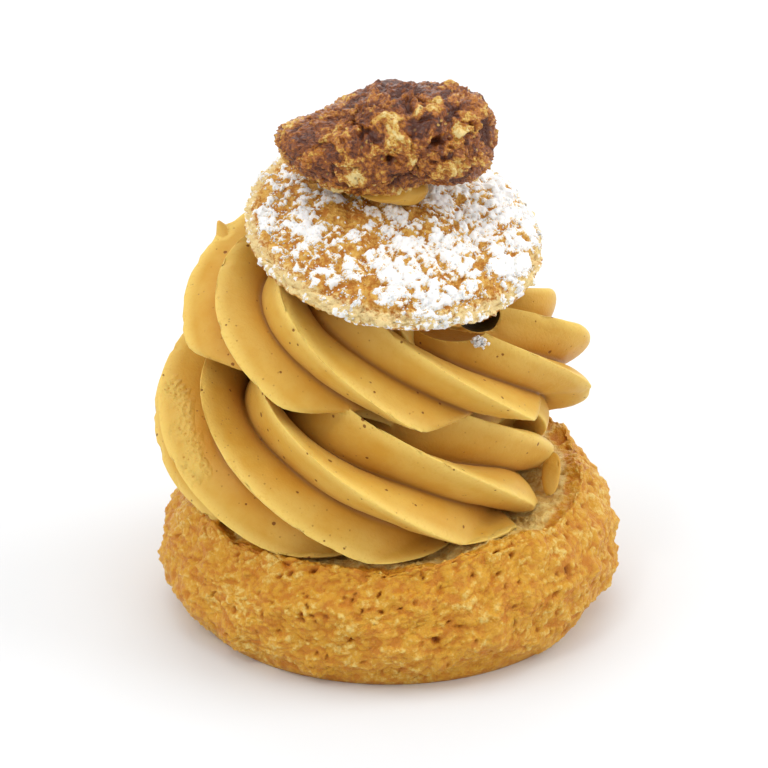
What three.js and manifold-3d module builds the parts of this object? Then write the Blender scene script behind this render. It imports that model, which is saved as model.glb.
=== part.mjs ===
// A choux bun: a crackled choux base cut open at the top, a star-piped swirl of cream in two turns,
// the cut-off crust set on the cream as a cap, and a candied nut held on the cap by a dab of cream.
// Millimetres, +Z up. The bun stands on Z = 0, its front faces -Y and +X is to its right.
import * as THREE from 'three';
import { mergeVertices } from 'three/addons/utils/BufferGeometryUtils.js';
import Module from 'manifold-3d';

const TURN = 2 * Math.PI;
const GAP = 0.3; // clear space between pieces that touch on the real bun

// Choux base: profile of the crust from the middle of its foot, over the rim, to the cut hollow.
const FOOT_RADIUS = 28.5;
const BELLY_RADIUS = 32.7;
const BELLY_HEIGHT = 9;
const RIM_RADIUS = 27.4;
const RIM_HEIGHT = 20.4;
const HOLLOW_HEIGHT = 17.4;
const RIM_LIFT = 3; // the cut slopes: the rim is this much above the mean on its high side
const RIM_HIGH_SIDE = THREE.MathUtils.degToRad(50);
const CRUST_LUMP_SIZE = 7;
const CRUST_LUMP_HEIGHT = 0.7;
const CRUST_SEED = 11;

// Cream: a rope of star section laid in two turns, clockwise from above, starting at the right.
const ROPE_START = -0.06; // in turns
const ROPE_END = 1.9;
const ROPE_PIECES = 4;
const TEETH = 7;
const TOOTH_DEPTH = 0.3; // share of the rope's radius
const TOOTH_SHARPNESS = 1.35; // 1 gives flat flanks, 2 round ones
const TOOTH_STEPS = 4;
const STEPS_PER_TURN = 48;
const TWIST = 1.36; // turns of the star about the rope in one turn of the swirl
const TWIST_START = THREE.MathUtils.degToRad(-52);
const LOWER_TURN_CENTRE = new THREE.Vector2(-4.4, 0.7);
const UPPER_TURN_CENTRE = new THREE.Vector2(4.8, -0.7);
const SWIRL_FOOT_HEIGHT = 21.7;
const SWIRL_PITCH = 14.4;
const SWIRL_LEVEL_FROM = 1.78; // the rope stops climbing here and runs in under the cap
const RING_RADII = [15.2, 16.5, 16.6, 13.8, 11.6, 14.9, 21.2, 15.5, 9]; // at each quarter turn from 0
const ROPE_HALF_WIDTH = 12.8;
const LOWER_ROPE_HALF_HEIGHT = 13;
const UPPER_ROPE_HALF_HEIGHT = 12.1;
const TAIL_FROM = 1.65; // the rope thins from here to its end
const TAIL_SHARE = 0.72;
const START_SHARE = 0.8;
const AXIS_CLEARANCE = 0.6; // the rope's inner side stays this far from the middle of its turn
const CORE_FOOT_RADIUS = 15;
const CORE_TOP_RADIUS = 14;
const CORE_TOP = 61;
const CORE_ROWS = 9;
const CORE_TWIST = 0.3; // turns of the star from the core's foot to its top

// Cap: the cut-off crown, a shallow dome tipped towards the front and to the right.
const CAP_RADIUS = 20.8;
const CAP_DOME = 5.4;
const CAP_RIM_THICKNESS = 2.2;
const CAP_CENTRE = new THREE.Vector3(0.5, -0.5, 55.4);
const CAP_TIP = THREE.MathUtils.degToRad(14.7);
const CAP_ROLL = THREE.MathUtils.degToRad(7);
const CAP_LUMP_SIZE = 5;
const CAP_LUMP_HEIGHT = 0.55;
const CAP_SEED = 23;

// Candied nut, pointed at its left end and blunt at its right, with a lumpy sugar coat.
const NUT_HALF_SIZE = new THREE.Vector3(15.4, 9.4, 7);
const NUT_CENTRE = new THREE.Vector3(-0.4, 0, 70.4);
const NUT_BLUNTNESS = 3.6;
const NUT_POINT = 1.5;
const NUT_DROOP = 0.9; // the left half sags by this at its middle
const NUT_LUMP_SIZE = 6;
const NUT_LUMP_HEIGHT = 0.8;
const NUT_SEED = 37;

// Dab of cream between cap and nut.
const DAB_RADIUS = 6.2;
const DAB_CENTRE = new THREE.Vector3(0.2, -1.2, 61.4);
const DAB_HALF_HEIGHT = 3.6;

const wasm = await Module();
wasm.setup();

/** Pseudo-random number from 0 to 1 for one corner of the noise lattice. */
function latticeValue(i, j, k, seed) {
  const wave = Math.sin(i * 127.1 + j * 311.7 + k * 74.7 + seed * 53.3) * 43758.5453;
  return wave - Math.floor(wave);
}

/** Smooth seeded noise from -1 to 1 at a point measured in lumps. */
function lumps(point, size, seed) {
  const cell = point.clone().divideScalar(size);
  const corner = cell.clone().floor();
  const ease = (v) => v * v * (3 - 2 * v);
  const share = cell.clone().sub(corner);
  let sum = 0;
  for (let n = 0; n < 8; n += 1) {
    const step = [n & 1, (n >> 1) & 1, n >> 2];
    const weight = [share.x, share.y, share.z]
      .map((v, axis) => (step[axis] ? ease(v) : 1 - ease(v)))
      .reduce((product, v) => product * v, 1);
    sum += weight * latticeValue(corner.x + step[0], corner.y + step[1], corner.z + step[2], seed);
  }
  return 2 * sum - 1;
}

/** Closed surface of rings pointAt(row, column), shut by the points first and last, split on short diagonals. */
function closedSurface(rows, columns, pointAt, first, last) {
  const positions = [...first.toArray()];
  for (let row = 0; row < rows; row += 1) {
    for (let column = 0; column < columns; column += 1) {
      positions.push(...pointAt(row, column).toArray());
    }
  }
  positions.push(...last.toArray());
  const vertex = (row, column) => 1 + row * columns + (column % columns);
  const end = 1 + rows * columns;
  const corner = (index) => new THREE.Vector3().fromArray(positions, 3 * index);
  const distance = (from, to) => corner(from).distanceTo(corner(to));
  const triangles = [];
  for (let column = 0; column < columns; column += 1) {
    triangles.push(0, vertex(0, column + 1), vertex(0, column));
    triangles.push(end, vertex(rows - 1, column), vertex(rows - 1, column + 1));
    for (let row = 0; row + 1 < rows; row += 1) {
      const near = [vertex(row, column), vertex(row, column + 1)];
      const far = [vertex(row + 1, column), vertex(row + 1, column + 1)];
      if (distance(near[0], far[1]) < distance(near[1], far[0])) {
        triangles.push(near[0], near[1], far[1], near[0], far[1], far[0]);
      } else {
        triangles.push(near[0], near[1], far[0], near[1], far[1], far[0]);
      }
    }
  }
  const geometry = new THREE.BufferGeometry();
  geometry.setAttribute('position', new THREE.Float32BufferAttribute(positions, 3));
  geometry.setIndex(triangles);
  return geometry;
}

/** The solid that a closed geometry bounds. */
function solidOf(geometry) {
  const bare = geometry.clone();
  bare.deleteAttribute('normal');
  bare.deleteAttribute('uv');
  const merged = mergeVertices(bare);
  const vertProperties = new Float32Array(merged.attributes.position.array);
  const triVerts = new Uint32Array(merged.index.array);
  return new wasm.Manifold(new wasm.Mesh({ numProp: 3, vertProperties, triVerts }));
}

/** The geometry of a solid's largest piece. */
function geometryOf(solid) {
  const pieces = solid.decompose().sort((a, b) => b.volume() - a.volume());
  const mesh = pieces[0].getMesh();
  const geometry = new THREE.BufferGeometry();
  geometry.setAttribute('position', new THREE.BufferAttribute(new Float32Array(mesh.vertProperties), 3));
  geometry.setIndex([...mesh.triVerts]);
  geometry.computeVertexNormals();
  return geometry;
}

/** Ring of points at a profile's radius and height, turned about the Z axis. */
function onProfile(profilePoint, angle) {
  return new THREE.Vector3(profilePoint.x * Math.cos(angle), profilePoint.x * Math.sin(angle), profilePoint.y);
}

/** Choux base, or its outside grown by a clearance. */
function baseGeometry(clearance) {
  const side = new THREE.SplineCurve([
    new THREE.Vector2(FOOT_RADIUS, 0),
    new THREE.Vector2(BELLY_RADIUS - 0.6, BELLY_HEIGHT * 0.45),
    new THREE.Vector2(BELLY_RADIUS, BELLY_HEIGHT),
    new THREE.Vector2(BELLY_RADIUS - 0.7, BELLY_HEIGHT + 5),
    new THREE.Vector2(RIM_RADIUS + 1.8, RIM_HEIGHT - 1.4),
    new THREE.Vector2(RIM_RADIUS, RIM_HEIGHT),
    new THREE.Vector2(RIM_RADIUS - 2, RIM_HEIGHT - 1.2),
    new THREE.Vector2(RIM_RADIUS - 7, HOLLOW_HEIGHT + 0.8),
    new THREE.Vector2(RIM_RADIUS - 17, HOLLOW_HEIGHT),
  ]);
  const rows = 19;
  const columns = 66;
  const pointAt = (row, column) => {
    const angle = TURN * column / columns;
    const place = side.getPoint(row / (rows - 1));
    const slope = side.getTangent(row / (rows - 1));
    place.add(new THREE.Vector2(slope.y, -slope.x).multiplyScalar(clearance));
    const lift = RIM_LIFT * Math.cos(angle - RIM_HIGH_SIDE);
    const point = onProfile(place, angle);
    const crust = THREE.MathUtils.smoothstep(place.y, 0.5, 4);
    const relief = crust * CRUST_LUMP_HEIGHT * lumps(point, CRUST_LUMP_SIZE, CRUST_SEED);
    const outward = onProfile(new THREE.Vector2(slope.y, -slope.x), angle);
    point.addScaledVector(outward, relief);
    point.z += lift * THREE.MathUtils.smoothstep(place.y, BELLY_HEIGHT * 0.5, RIM_HEIGHT);
    return point;
  };
  const foot = new THREE.Vector3(0, 0, -clearance);
  const hollow = new THREE.Vector3(0, 0, HOLLOW_HEIGHT + clearance);
  return closedSurface(rows, columns, pointAt, foot, hollow);
}

/** Radius of the swirl's ring about its moving centre, by the number of turns. */
function ringRadius(turns) {
  const steps = RING_RADII.map((radius, quarter) => new THREE.Vector2(quarter / 4, radius));
  const share = THREE.MathUtils.clamp(turns / ((steps.length - 1) / 4), 0, 1);
  return new THREE.SplineCurve(steps).getPoint(share).y;
}

/** Share of the rope's full thickness: less at its start and along its tail. */
function ropeShare(turns) {
  const start = THREE.MathUtils.lerp(START_SHARE, 1, THREE.MathUtils.smoothstep(turns, ROPE_START, 0.02));
  const tail = THREE.MathUtils.lerp(1, TAIL_SHARE, THREE.MathUtils.smoothstep(turns, TAIL_FROM, ROPE_END));
  return start * tail;
}

/** Point of the rope's star section: at a number of turns, at an angle about the rope. */
function ropePoint(turns, angle, reach) {
  const centre = LOWER_TURN_CENTRE.clone().lerp(UPPER_TURN_CENTRE, THREE.MathUtils.smoothstep(turns, 0.5, 1));
  const ring = ringRadius(turns);
  const share = ropeShare(turns) * reach;
  const upper = THREE.MathUtils.smoothstep(turns, 0.5, 1);
  const halfHeight = THREE.MathUtils.lerp(LOWER_ROPE_HALF_HEIGHT, UPPER_ROPE_HALF_HEIGHT, upper) * share;
  const outside = Math.cos(angle) > 0;
  const halfWidth = outside ? ROPE_HALF_WIDTH * share : Math.min(ROPE_HALF_WIDTH * share, ring - AXIS_CLEARANCE);
  const radius = ring + halfWidth * Math.cos(angle);
  const heading = -TURN * turns;
  const height = SWIRL_FOOT_HEIGHT + SWIRL_PITCH * Math.min(turns, SWIRL_LEVEL_FROM);
  return new THREE.Vector3(
    centre.x + radius * Math.cos(heading),
    centre.y + radius * Math.sin(heading),
    height + halfHeight * Math.sin(angle),
  );
}

/** Share of the star's radius at a column of its outline: 1 on a crest, least in a groove. */
function toothReach(column) {
  const acrossTooth = 2 * ((column % TOOTH_STEPS) / TOOTH_STEPS) - 1;
  return 1 - TOOTH_DEPTH * Math.abs(acrossTooth) ** TOOTH_SHARPNESS;
}

/** One stretch of the rope as a closed geometry. */
function ropeGeometry(from, to) {
  const rows = Math.round((to - from) * STEPS_PER_TURN) + 1;
  const columns = TEETH * TOOTH_STEPS;
  const turnsAt = (row) => THREE.MathUtils.lerp(from, to, row / (rows - 1));
  const pointAt = (row, column) => {
    const turns = turnsAt(row);
    const toothAngle = TURN * (column / columns - 0.5 / TEETH);
    return ropePoint(turns, TWIST_START + TURN * TWIST * turns + toothAngle, toothReach(column));
  };
  return closedSurface(rows, columns, pointAt, ropePoint(from, 0, 0), ropePoint(to, 0, 0));
}

/** The swirl's middle, where the nozzle rises to the cap: an upright twisted star. */
function coreGeometry() {
  const columns = TEETH * TOOTH_STEPS;
  const onAxis = (height) => new THREE.Vector3(CAP_CENTRE.x, CAP_CENTRE.y, height);
  const pointAt = (row, column) => {
    const rise = row / (CORE_ROWS - 1);
    const radius = THREE.MathUtils.lerp(CORE_FOOT_RADIUS, CORE_TOP_RADIUS, rise) * toothReach(column);
    const angle = TURN * (column / columns - CORE_TWIST * rise);
    const height = THREE.MathUtils.lerp(HOLLOW_HEIGHT, CORE_TOP, rise);
    return onAxis(height).add(onProfile(new THREE.Vector2(radius, 0), angle));
  };
  return closedSurface(CORE_ROWS, columns, pointAt, onAxis(HOLLOW_HEIGHT), onAxis(CORE_TOP));
}

/** The whole rope with the core that fills its middle. */
function creamSolid() {
  let cream = solidOf(coreGeometry());
  const stretch = (ROPE_END - ROPE_START) / ROPE_PIECES;
  for (let n = 0; n < ROPE_PIECES; n += 1) {
    const from = ROPE_START + n * stretch;
    cream = cream.add(solidOf(ropeGeometry(from, from + stretch)));
  }
  return cream;
}

/** Cap in its place, or its outside grown by a clearance. */
function capGeometry(clearance) {
  const side = new THREE.SplineCurve([
    new THREE.Vector2(CAP_RADIUS * 0.5, 0),
    new THREE.Vector2(CAP_RADIUS - 1.4, 0),
    new THREE.Vector2(CAP_RADIUS, CAP_RIM_THICKNESS * 0.5),
    new THREE.Vector2(CAP_RADIUS - 1, CAP_RIM_THICKNESS),
    new THREE.Vector2(CAP_RADIUS * 0.75, CAP_RIM_THICKNESS + CAP_DOME * 0.4),
    new THREE.Vector2(CAP_RADIUS * 0.38, CAP_DOME),
    new THREE.Vector2(CAP_RADIUS * 0.1, CAP_DOME + 0.5),
  ]);
  const rows = 13;
  const columns = 48;
  const place = new THREE.Matrix4().compose(
    CAP_CENTRE,
    new THREE.Quaternion().setFromEuler(new THREE.Euler(CAP_TIP, CAP_ROLL, 0, 'XYZ')),
    new THREE.Vector3(1, 1, 1),
  );
  const pointAt = (row, column) => {
    const angle = TURN * column / columns;
    const profilePoint = side.getPoint(row / (rows - 1));
    const slope = side.getTangent(row / (rows - 1));
    const outward = onProfile(new THREE.Vector2(slope.y, -slope.x), angle);
    const point = onProfile(profilePoint, angle);
    const crust = THREE.MathUtils.smoothstep(profilePoint.y, 0, CAP_RIM_THICKNESS);
    const relief = crust * CAP_LUMP_HEIGHT * lumps(point, CAP_LUMP_SIZE, CAP_SEED);
    return point.addScaledVector(outward, relief + clearance).applyMatrix4(place);
  };
  const under = new THREE.Vector3(0, 0, -clearance).applyMatrix4(place);
  const crown = new THREE.Vector3(0, 0, CAP_DOME + 0.5 + clearance).applyMatrix4(place);
  return closedSurface(rows, columns, pointAt, under, crown);
}

/** Nut, or its outside grown by a clearance: sections along X, their radius falling to both ends. */
function nutGeometry(clearance) {
  const rows = 15;
  const columns = 28;
  const grown = NUT_HALF_SIZE.clone().addScalar(clearance);
  const pointAt = (row, column) => {
    const along = -Math.cos(Math.PI * (row + 1) / (rows + 1));
    const power = along < 0 ? NUT_POINT : NUT_BLUNTNESS;
    const section = Math.sqrt(1 - Math.abs(along) ** power);
    const angle = TURN * column / columns;
    const point = new THREE.Vector3(along, section * Math.cos(angle), section * Math.sin(angle));
    point.multiply(grown);
    point.z += along < 0 ? NUT_DROOP * Math.sin(Math.PI * along) : 0;
    const outward = point.clone().divide(NUT_HALF_SIZE).normalize();
    const relief = NUT_LUMP_HEIGHT * lumps(point, NUT_LUMP_SIZE, NUT_SEED);
    return point.addScaledVector(outward, relief).add(NUT_CENTRE);
  };
  const tip = new THREE.Vector3(-grown.x, 0, 0).add(NUT_CENTRE);
  const butt = new THREE.Vector3(grown.x, 0, 0).add(NUT_CENTRE);
  return closedSurface(rows, columns, pointAt, tip, butt);
}

/** Dab of cream, pressed to shape by the cap under it and the nut on it. */
function dabGeometry() {
  const blob = new THREE.SphereGeometry(DAB_RADIUS, 18, 9);
  blob.rotateX(Math.PI / 2);
  blob.scale(1, 1, DAB_HALF_HEIGHT / DAB_RADIUS);
  blob.translate(...DAB_CENTRE.toArray());
  const dab = solidOf(blob).subtract(solidOf(capGeometry(GAP))).subtract(solidOf(nutGeometry(GAP)));
  return geometryOf(dab);
}

/** A named piece with its own finish. */
function piece(name, geometry, colour, roughness) {
  const material = new THREE.MeshStandardMaterial({ color: colour, roughness, metalness: 0 });
  const mesh = new THREE.Mesh(geometry, material);
  mesh.name = name;
  return mesh;
}

const cream = creamSolid().subtract(solidOf(baseGeometry(GAP))).subtract(solidOf(capGeometry(GAP)));

const bun = new THREE.Group();
bun.name = 'choux_bun';
bun.add(piece('choux_base', geometryOf(solidOf(baseGeometry(0))), 0xd6a254, 0.75));
bun.add(piece('cream_swirl', geometryOf(cream), 0xcf9f52, 0.45));
bun.add(piece('crust_cap', geometryOf(solidOf(capGeometry(0))), 0xe3c9a4, 0.85));
bun.add(piece('cream_dab', dabGeometry(), 0xc08a3e, 0.45));
bun.add(piece('candied_nut', geometryOf(solidOf(nutGeometry(0))), 0x7a4a2c, 0.4));

export default bun;
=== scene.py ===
"""Dresses the choux bun: crackled crust, star-piped praline cream, sugared cap and candied nut.

Shapes are worked out in millimetres in the part's own frame, +Z up and the front towards -Y, and are
written to the meshes in metres.
"""

import logging
import math
from dataclasses import dataclass, field
from enum import Enum

import bpy
import numpy as np
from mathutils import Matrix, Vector

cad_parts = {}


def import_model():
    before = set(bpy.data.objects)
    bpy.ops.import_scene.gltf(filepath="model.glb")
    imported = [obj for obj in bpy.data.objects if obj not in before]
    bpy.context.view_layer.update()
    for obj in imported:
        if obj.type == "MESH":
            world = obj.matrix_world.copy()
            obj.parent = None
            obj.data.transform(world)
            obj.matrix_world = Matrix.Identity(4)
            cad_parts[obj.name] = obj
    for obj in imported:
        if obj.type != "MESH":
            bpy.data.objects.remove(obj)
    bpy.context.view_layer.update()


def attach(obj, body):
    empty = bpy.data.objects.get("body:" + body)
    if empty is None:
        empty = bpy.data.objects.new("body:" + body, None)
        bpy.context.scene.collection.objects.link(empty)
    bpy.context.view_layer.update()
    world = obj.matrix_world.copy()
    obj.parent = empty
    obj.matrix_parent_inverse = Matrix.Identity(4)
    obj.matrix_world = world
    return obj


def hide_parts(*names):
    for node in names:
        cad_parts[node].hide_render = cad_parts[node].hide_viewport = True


Array = np.ndarray
Pair = tuple[float, float]
Triple = tuple[float, float, float]
Colour = tuple[float, float, float, float]
Spot = tuple[Triple, float]
Solid = tuple[Array, Array]

MILLIMETRE = 0.001
TURN = 2 * math.pi
PICTURE_SIDE = 768
HASH_STEPS = np.array([127.1, 311.7, 74.7])
HASH_SEED_STEP = 53.3
HASH_SCALE = 43758.5453
WARM_GLOW: Triple = (1.0, 0.55, 0.2)
log = logging.getLogger("choux_bun")


class Slot(Enum):
    """The record's material slots."""

    CRUST = "choux_crust"
    CREAM = "praline_cream"
    CAP = "cap_crust"
    NUT = "nut_coat"


class Node(Enum):
    """The part's solids that the dressed pieces stand for."""

    BASE = "choux_base"
    SWIRL = "cream_swirl"
    CAP = "crust_cap"
    DAB = "cream_dab"
    NUT = "candied_nut"


class Join(Enum):
    """How a form is joined to the cream."""

    ADD = "UNION"
    CUT = "DIFFERENCE"


def screen_colour(red: int, green: int, blue: int) -> Colour:
    """A colour as a screen shows it, from 0 to 255, turned into linear light.

    Args:
        red: Red from 0 to 255.
        green: Green from 0 to 255.
        blue: Blue from 0 to 255.

    Returns:
        Linear red, green, blue and an alpha of 1.
    """
    shares = [value / 255 for value in (red, green, blue)]
    linear = [s / 12.92 if s <= 0.04045 else ((s + 0.055) / 1.055) ** 2.4 for s in shares]
    return (linear[0], linear[1], linear[2], 1.0)


# Fields and curves


def ease(value: Array | float, low: float, high: float) -> Array:
    """Smooth step: 0 below low, 1 above high and 3t^2 - 2t^3 between."""
    share = np.clip((np.asarray(value, float) - low) / (high - low), 0, 1)
    return share * share * (3 - 2 * share)


def window(value: Array, rise: Pair, fall: Pair) -> Array:
    """1 between a rise and a fall, which are smooth steps, and 0 outside them."""
    return ease(value, *rise) * (1 - ease(value, *fall))


def blend(start: Array | float, end: Array | float, share: Array | float) -> Array:
    """Straight blend from start to end."""
    return start + (end - start) * share


def lattice_value(cell: Array, seed: float) -> Array:
    """Seeded pseudo-random number from 0 to 1 for each lattice corner, the fraction of a large sine.

    Args:
        cell: Whole-number corners, last axis of three.
        seed: Which field.

    Returns:
        One number for each corner.
    """
    wave = np.sin(cell @ HASH_STEPS + seed * HASH_SEED_STEP) * HASH_SCALE
    return wave - np.floor(wave)


def lumps(points: Array, size: float, seed: float) -> Array:
    """Smooth noise from -1 to 1: lattice values blended with smooth steps between the eight corners.

    Args:
        points: Places in millimetres, last axis of three.
        size: Width of one lump.
        seed: Which field.

    Returns:
        The field at each place.
    """
    cell = points / size
    corner = np.floor(cell)
    share = cell - corner
    weight = share * share * (3 - 2 * share)
    total = np.zeros(points.shape[:-1])
    for step in np.ndindex(2, 2, 2):
        side = np.array(step)
        share_here = np.prod(np.where(side == 1, weight, 1 - weight), axis=-1)
        total += share_here * lattice_value(corner + side, seed)
    return 2 * total - 1


def swells(points: Array, form: Pair, seed: float) -> Array:
    """Lumps of a form's width and height in millimetres."""
    return form[1] * lumps(points, form[0], seed)


def rough(points: Array, form: Pair, seed: float, layers: int = 2, fade: float = 0.55) -> Array:
    """Layers of lumps, each half as wide and fade times as high as the one before.

    Args:
        points: Places in millimetres.
        form: Width and height of the widest lumps.
        seed: Which field.
        layers: Number of layers.
        fade: Height of a layer against the one before.

    Returns:
        The field at each place.
    """
    total = np.zeros(points.shape[:-1])
    width, height = form
    for layer in range(layers):
        total += swells(points, (width / 2**layer, height * fade**layer), seed + 17 * layer)
    return total


def crumbs(points: Array, size: float, seed: float) -> tuple[Array, Array, Array]:
    """Distances to the nearest and second nearest of seeded points, one in each lattice cell.

    Args:
        points: Places in millimetres.
        size: Width of a cell.
        seed: Which field.

    Returns:
        The two distances in cells and a random tone from 0 to 1 of the nearest point.
    """
    cell = points / size
    corner = np.floor(cell)
    nearest = np.full(points.shape[:-1], np.inf)
    second = np.full(points.shape[:-1], np.inf)
    tone = np.zeros(points.shape[:-1])
    for step in np.ndindex(3, 3, 3):
        home = corner + np.array(step) - 1
        jitter = np.stack([lattice_value(home, seed + 3.1 * axis) for axis in range(3)], axis=-1)
        distance = np.linalg.norm(home + jitter - cell, axis=-1)
        tone = np.where(distance < nearest, jitter[..., 0], tone)
        second = np.minimum(second, np.maximum(nearest, distance))
        nearest = np.minimum(nearest, distance)
    return nearest, second, tone


def wander(points: Array, size: float, reach: float, seed: float) -> Array:
    """Places moved about by smooth noise, so that patterns laid on them lose their regular shapes.

    Args:
        points: Places in millimetres.
        size: Width of the noise's lumps.
        reach: Furthest move along each axis.
        seed: Which field.

    Returns:
        The moved places.
    """
    return points + reach * np.stack([lumps(points, size, seed + n) for n in (0.3, 0.6, 0.9)], axis=-1)


def spot(points: Array, place: Triple, reach: float) -> Array:
    """A round spot: exp of minus the square of the distance over the reach."""
    return np.exp(-np.sum((points - np.array(place)) ** 2, axis=-1) / reach**2)


@dataclass(frozen=True)
class Pits:
    """Round pits at a share of seeded points, one point to each lattice cell."""

    width: float
    depth: float
    share: float
    edge: Pair

    def relief(self, points: Array, seed: float) -> Array:
        """Depth of the pits: full near a kept point and eased out over the edge, which is in cells.

        Args:
            points: Places in millimetres.
            seed: Which field.

        Returns:
            The depth at each place.
        """
        distance, _, tone = crumbs(points, self.width, seed)
        return self.depth * (tone < self.share) * (1 - ease(distance, *self.edge))


def spline(knots: Array, share: Array) -> tuple[Array, Array]:
    """Uniform Catmull-Rom curve through knots, with the end knots repeated.

    Args:
        knots: Points of the curve, one to a row.
        share: Places along the curve from 0 to 1.

    Returns:
        The points and their unit tangents.
    """
    last = len(knots) - 1
    place = np.clip(share, 0, 1) * last
    index = np.minimum(place.astype(int), last - 1)
    t = (place - index)[..., None]
    before, here = knots[np.maximum(index - 1, 0)], knots[index]
    after, beyond = knots[index + 1], knots[np.minimum(index + 2, last)]
    leave, arrive = (after - before) / 2, (beyond - here) / 2
    cubic = 2 * here - 2 * after + leave + arrive
    square = -3 * here + 3 * after - 2 * leave - arrive
    point = ((cubic * t + square) * t + leave) * t + here
    tangent = (3 * cubic * t + 2 * square) * t + leave
    length = np.maximum(np.linalg.norm(tangent, axis=-1, keepdims=True), 1e-9)
    return point, tangent / length


def about_axis(radius: Array, height: Array, angle: Array) -> Array:
    """Points at a radius and height, turned about the Z axis by an angle."""
    return np.stack(np.broadcast_arrays(radius * np.cos(angle), radius * np.sin(angle), height), axis=-1)


def round_angles(columns: int) -> Array:
    """Even angles once round an axis, in one row."""
    return TURN * np.arange(columns)[None] / columns


def ring_shares(rows: int) -> Array:
    """Angles from just past one pole of a ball to just before the other, in one column."""
    return (math.pi * (np.arange(rows) + 1) / (rows + 1))[:, None]


def unit_ball(rows: int, columns: int) -> Array:
    """Rings of a ball of radius 1 from the bottom up, without its poles.

    Args:
        rows: Number of rings.
        columns: Points in a ring.

    Returns:
        Points, rows by columns by three.
    """
    lean, angle = np.broadcast_arrays(ring_shares(rows), round_angles(columns))
    return about_axis(np.sin(lean), -np.cos(lean), angle)


def turned_profile(knots: Array, share: Array, angle: Array) -> tuple[Array, Array]:
    """A profile's curve turned about the Z axis; its normals are the tangents turned a quarter outwards.

    Args:
        knots: Radius and height of each knot of the profile.
        share: Places along the profile.
        angle: Places round the axis.

    Returns:
        Points and unit normals.
    """
    outline, tangent = spline(knots, share)
    points = about_axis(outline[..., 0], outline[..., 1], angle)
    return points, about_axis(tangent[..., 1], -tangent[..., 0], angle)


# Meshes


def closed_grid(rings: Array, first: Array, last: Array) -> Solid:
    """Triangles over rings of points, shut at both ends by a point.

    Args:
        rings: Points, rows by columns by three, each row a closed ring.
        first: Point that shuts the first ring.
        last: Point that shuts the last ring.

    Returns:
        Points and triangles.
    """
    rows, columns = rings.shape[:2]
    points = np.concatenate([first[None], rings.reshape(-1, 3), last[None]])
    grid = 1 + np.arange(rows * columns).reshape(rows, columns)
    turned = np.roll(grid, -1, axis=1)
    near, near_next = grid[:-1].ravel(), turned[:-1].ravel()
    far, far_next = grid[1:].ravel(), turned[1:].ravel()
    triangles = [
        np.stack([near, near_next, far_next], axis=1),
        np.stack([near, far_next, far], axis=1),
        np.stack([np.zeros(columns, int), turned[0], grid[0]], axis=1),
        np.stack([np.full(columns, len(points) - 1), grid[-1], turned[-1]], axis=1),
    ]
    return points, np.concatenate(triangles)


@dataclass(frozen=True)
class Blob:
    """A ball stretched to half sizes, which may be drawn out at the top and slope to the back."""

    centre: Triple
    half: Triple
    reach: Triple = (0.0, 0.0, 0.0)
    slant: float = 0.0
    narrowing: float = 0.8
    rows: int = 30
    columns: int = 50

    def solid(self) -> Solid:
        """The ball drawn out, and narrowed if it is drawn upwards, with the cube of the share of the way up.

        Returns:
            Points and triangles.
        """
        centre, half, reach = np.array(self.centre), np.array(self.half), np.array(self.reach)
        ball = unit_ball(self.rows, self.columns)
        share = ((1 + ball[..., 2:]) / 2) ** 3
        narrow = np.where(np.arange(3) < 2, 1 - self.narrowing * share * (reach[2] > 0), 1)
        rings = centre + ball * half * narrow + share * reach
        rings[..., 2] -= self.slant * (rings[..., 1] - centre[1])
        up = np.array([0, 0, half[2]])
        return closed_grid(rings, centre - up, centre + up + reach)


def add_object(name: str, data: bpy.types.ID) -> bpy.types.Object:
    """A new object at the origin, linked to the scene.

    Args:
        name: The object's name.
        data: Its mesh, lamp or camera.

    Returns:
        The new object.
    """
    made = bpy.data.objects.new(name, data)
    bpy.context.scene.collection.objects.link(made)
    return made


def new_piece(name: str, points: Array, triangles: Array) -> bpy.types.Object:
    """A smooth-shaded mesh object at the origin.

    Args:
        name: The piece's name.
        points: Points in millimetres.
        triangles: Corner numbers, three to a row.

    Returns:
        The new object, linked to the scene.
    """
    mesh = bpy.data.meshes.new(name)
    mesh.from_pydata(points * MILLIMETRE, [], triangles)
    mesh.validate()
    mesh.shade_smooth()
    return add_object(name, mesh)


def set_field(piece: bpy.types.Object, name: str, values: Array) -> None:
    """Stores one number for each point of a piece for its finish to read.

    Args:
        piece: The mesh object.
        name: Name of the attribute.
        values: One number for each point.
    """
    attribute = piece.data.attributes.new(name, "FLOAT", "POINT")
    attribute.data.foreach_set("value", values.astype(np.float32).ravel())


def set_ring_fields(piece: bpy.types.Object, **fields: Array) -> None:
    """Stores fields of a closed grid's rings, with 0 at the points that shut it.

    Args:
        piece: The mesh object.
        **fields: One number for each point of the rings, by the attribute's name.
    """
    for name, values in fields.items():
        set_field(piece, name, np.concatenate([[0], values.ravel(), [0]]))


def field_values(mesh: bpy.types.Mesh, name: str) -> Array:
    """The numbers stored on a mesh's points under a name.

    Args:
        mesh: The mesh.
        name: Name of the attribute.

    Returns:
        One number for each point.
    """
    values = np.empty(len(mesh.vertices), np.float32)
    mesh.attributes[name].data.foreach_get("value", values)
    return values


def mesh_points(mesh: bpy.types.Mesh) -> Array:
    """Points of a mesh in millimetres.

    Args:
        mesh: The mesh.

    Returns:
        One point to a row.
    """
    flat = np.empty(len(mesh.vertices) * 3, np.float32)
    mesh.vertices.foreach_get("co", flat)
    return flat.reshape(-1, 3).astype(float) / MILLIMETRE


def mesh_normals(mesh: bpy.types.Mesh) -> Array:
    """Unit normals at the points of a mesh.

    Args:
        mesh: The mesh.

    Returns:
        One normal to a row.
    """
    flat = np.empty(len(mesh.vertices) * 3, np.float32)
    mesh.vertex_normals.foreach_get("vector", flat)
    return flat.reshape(-1, 3).astype(float)


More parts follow.
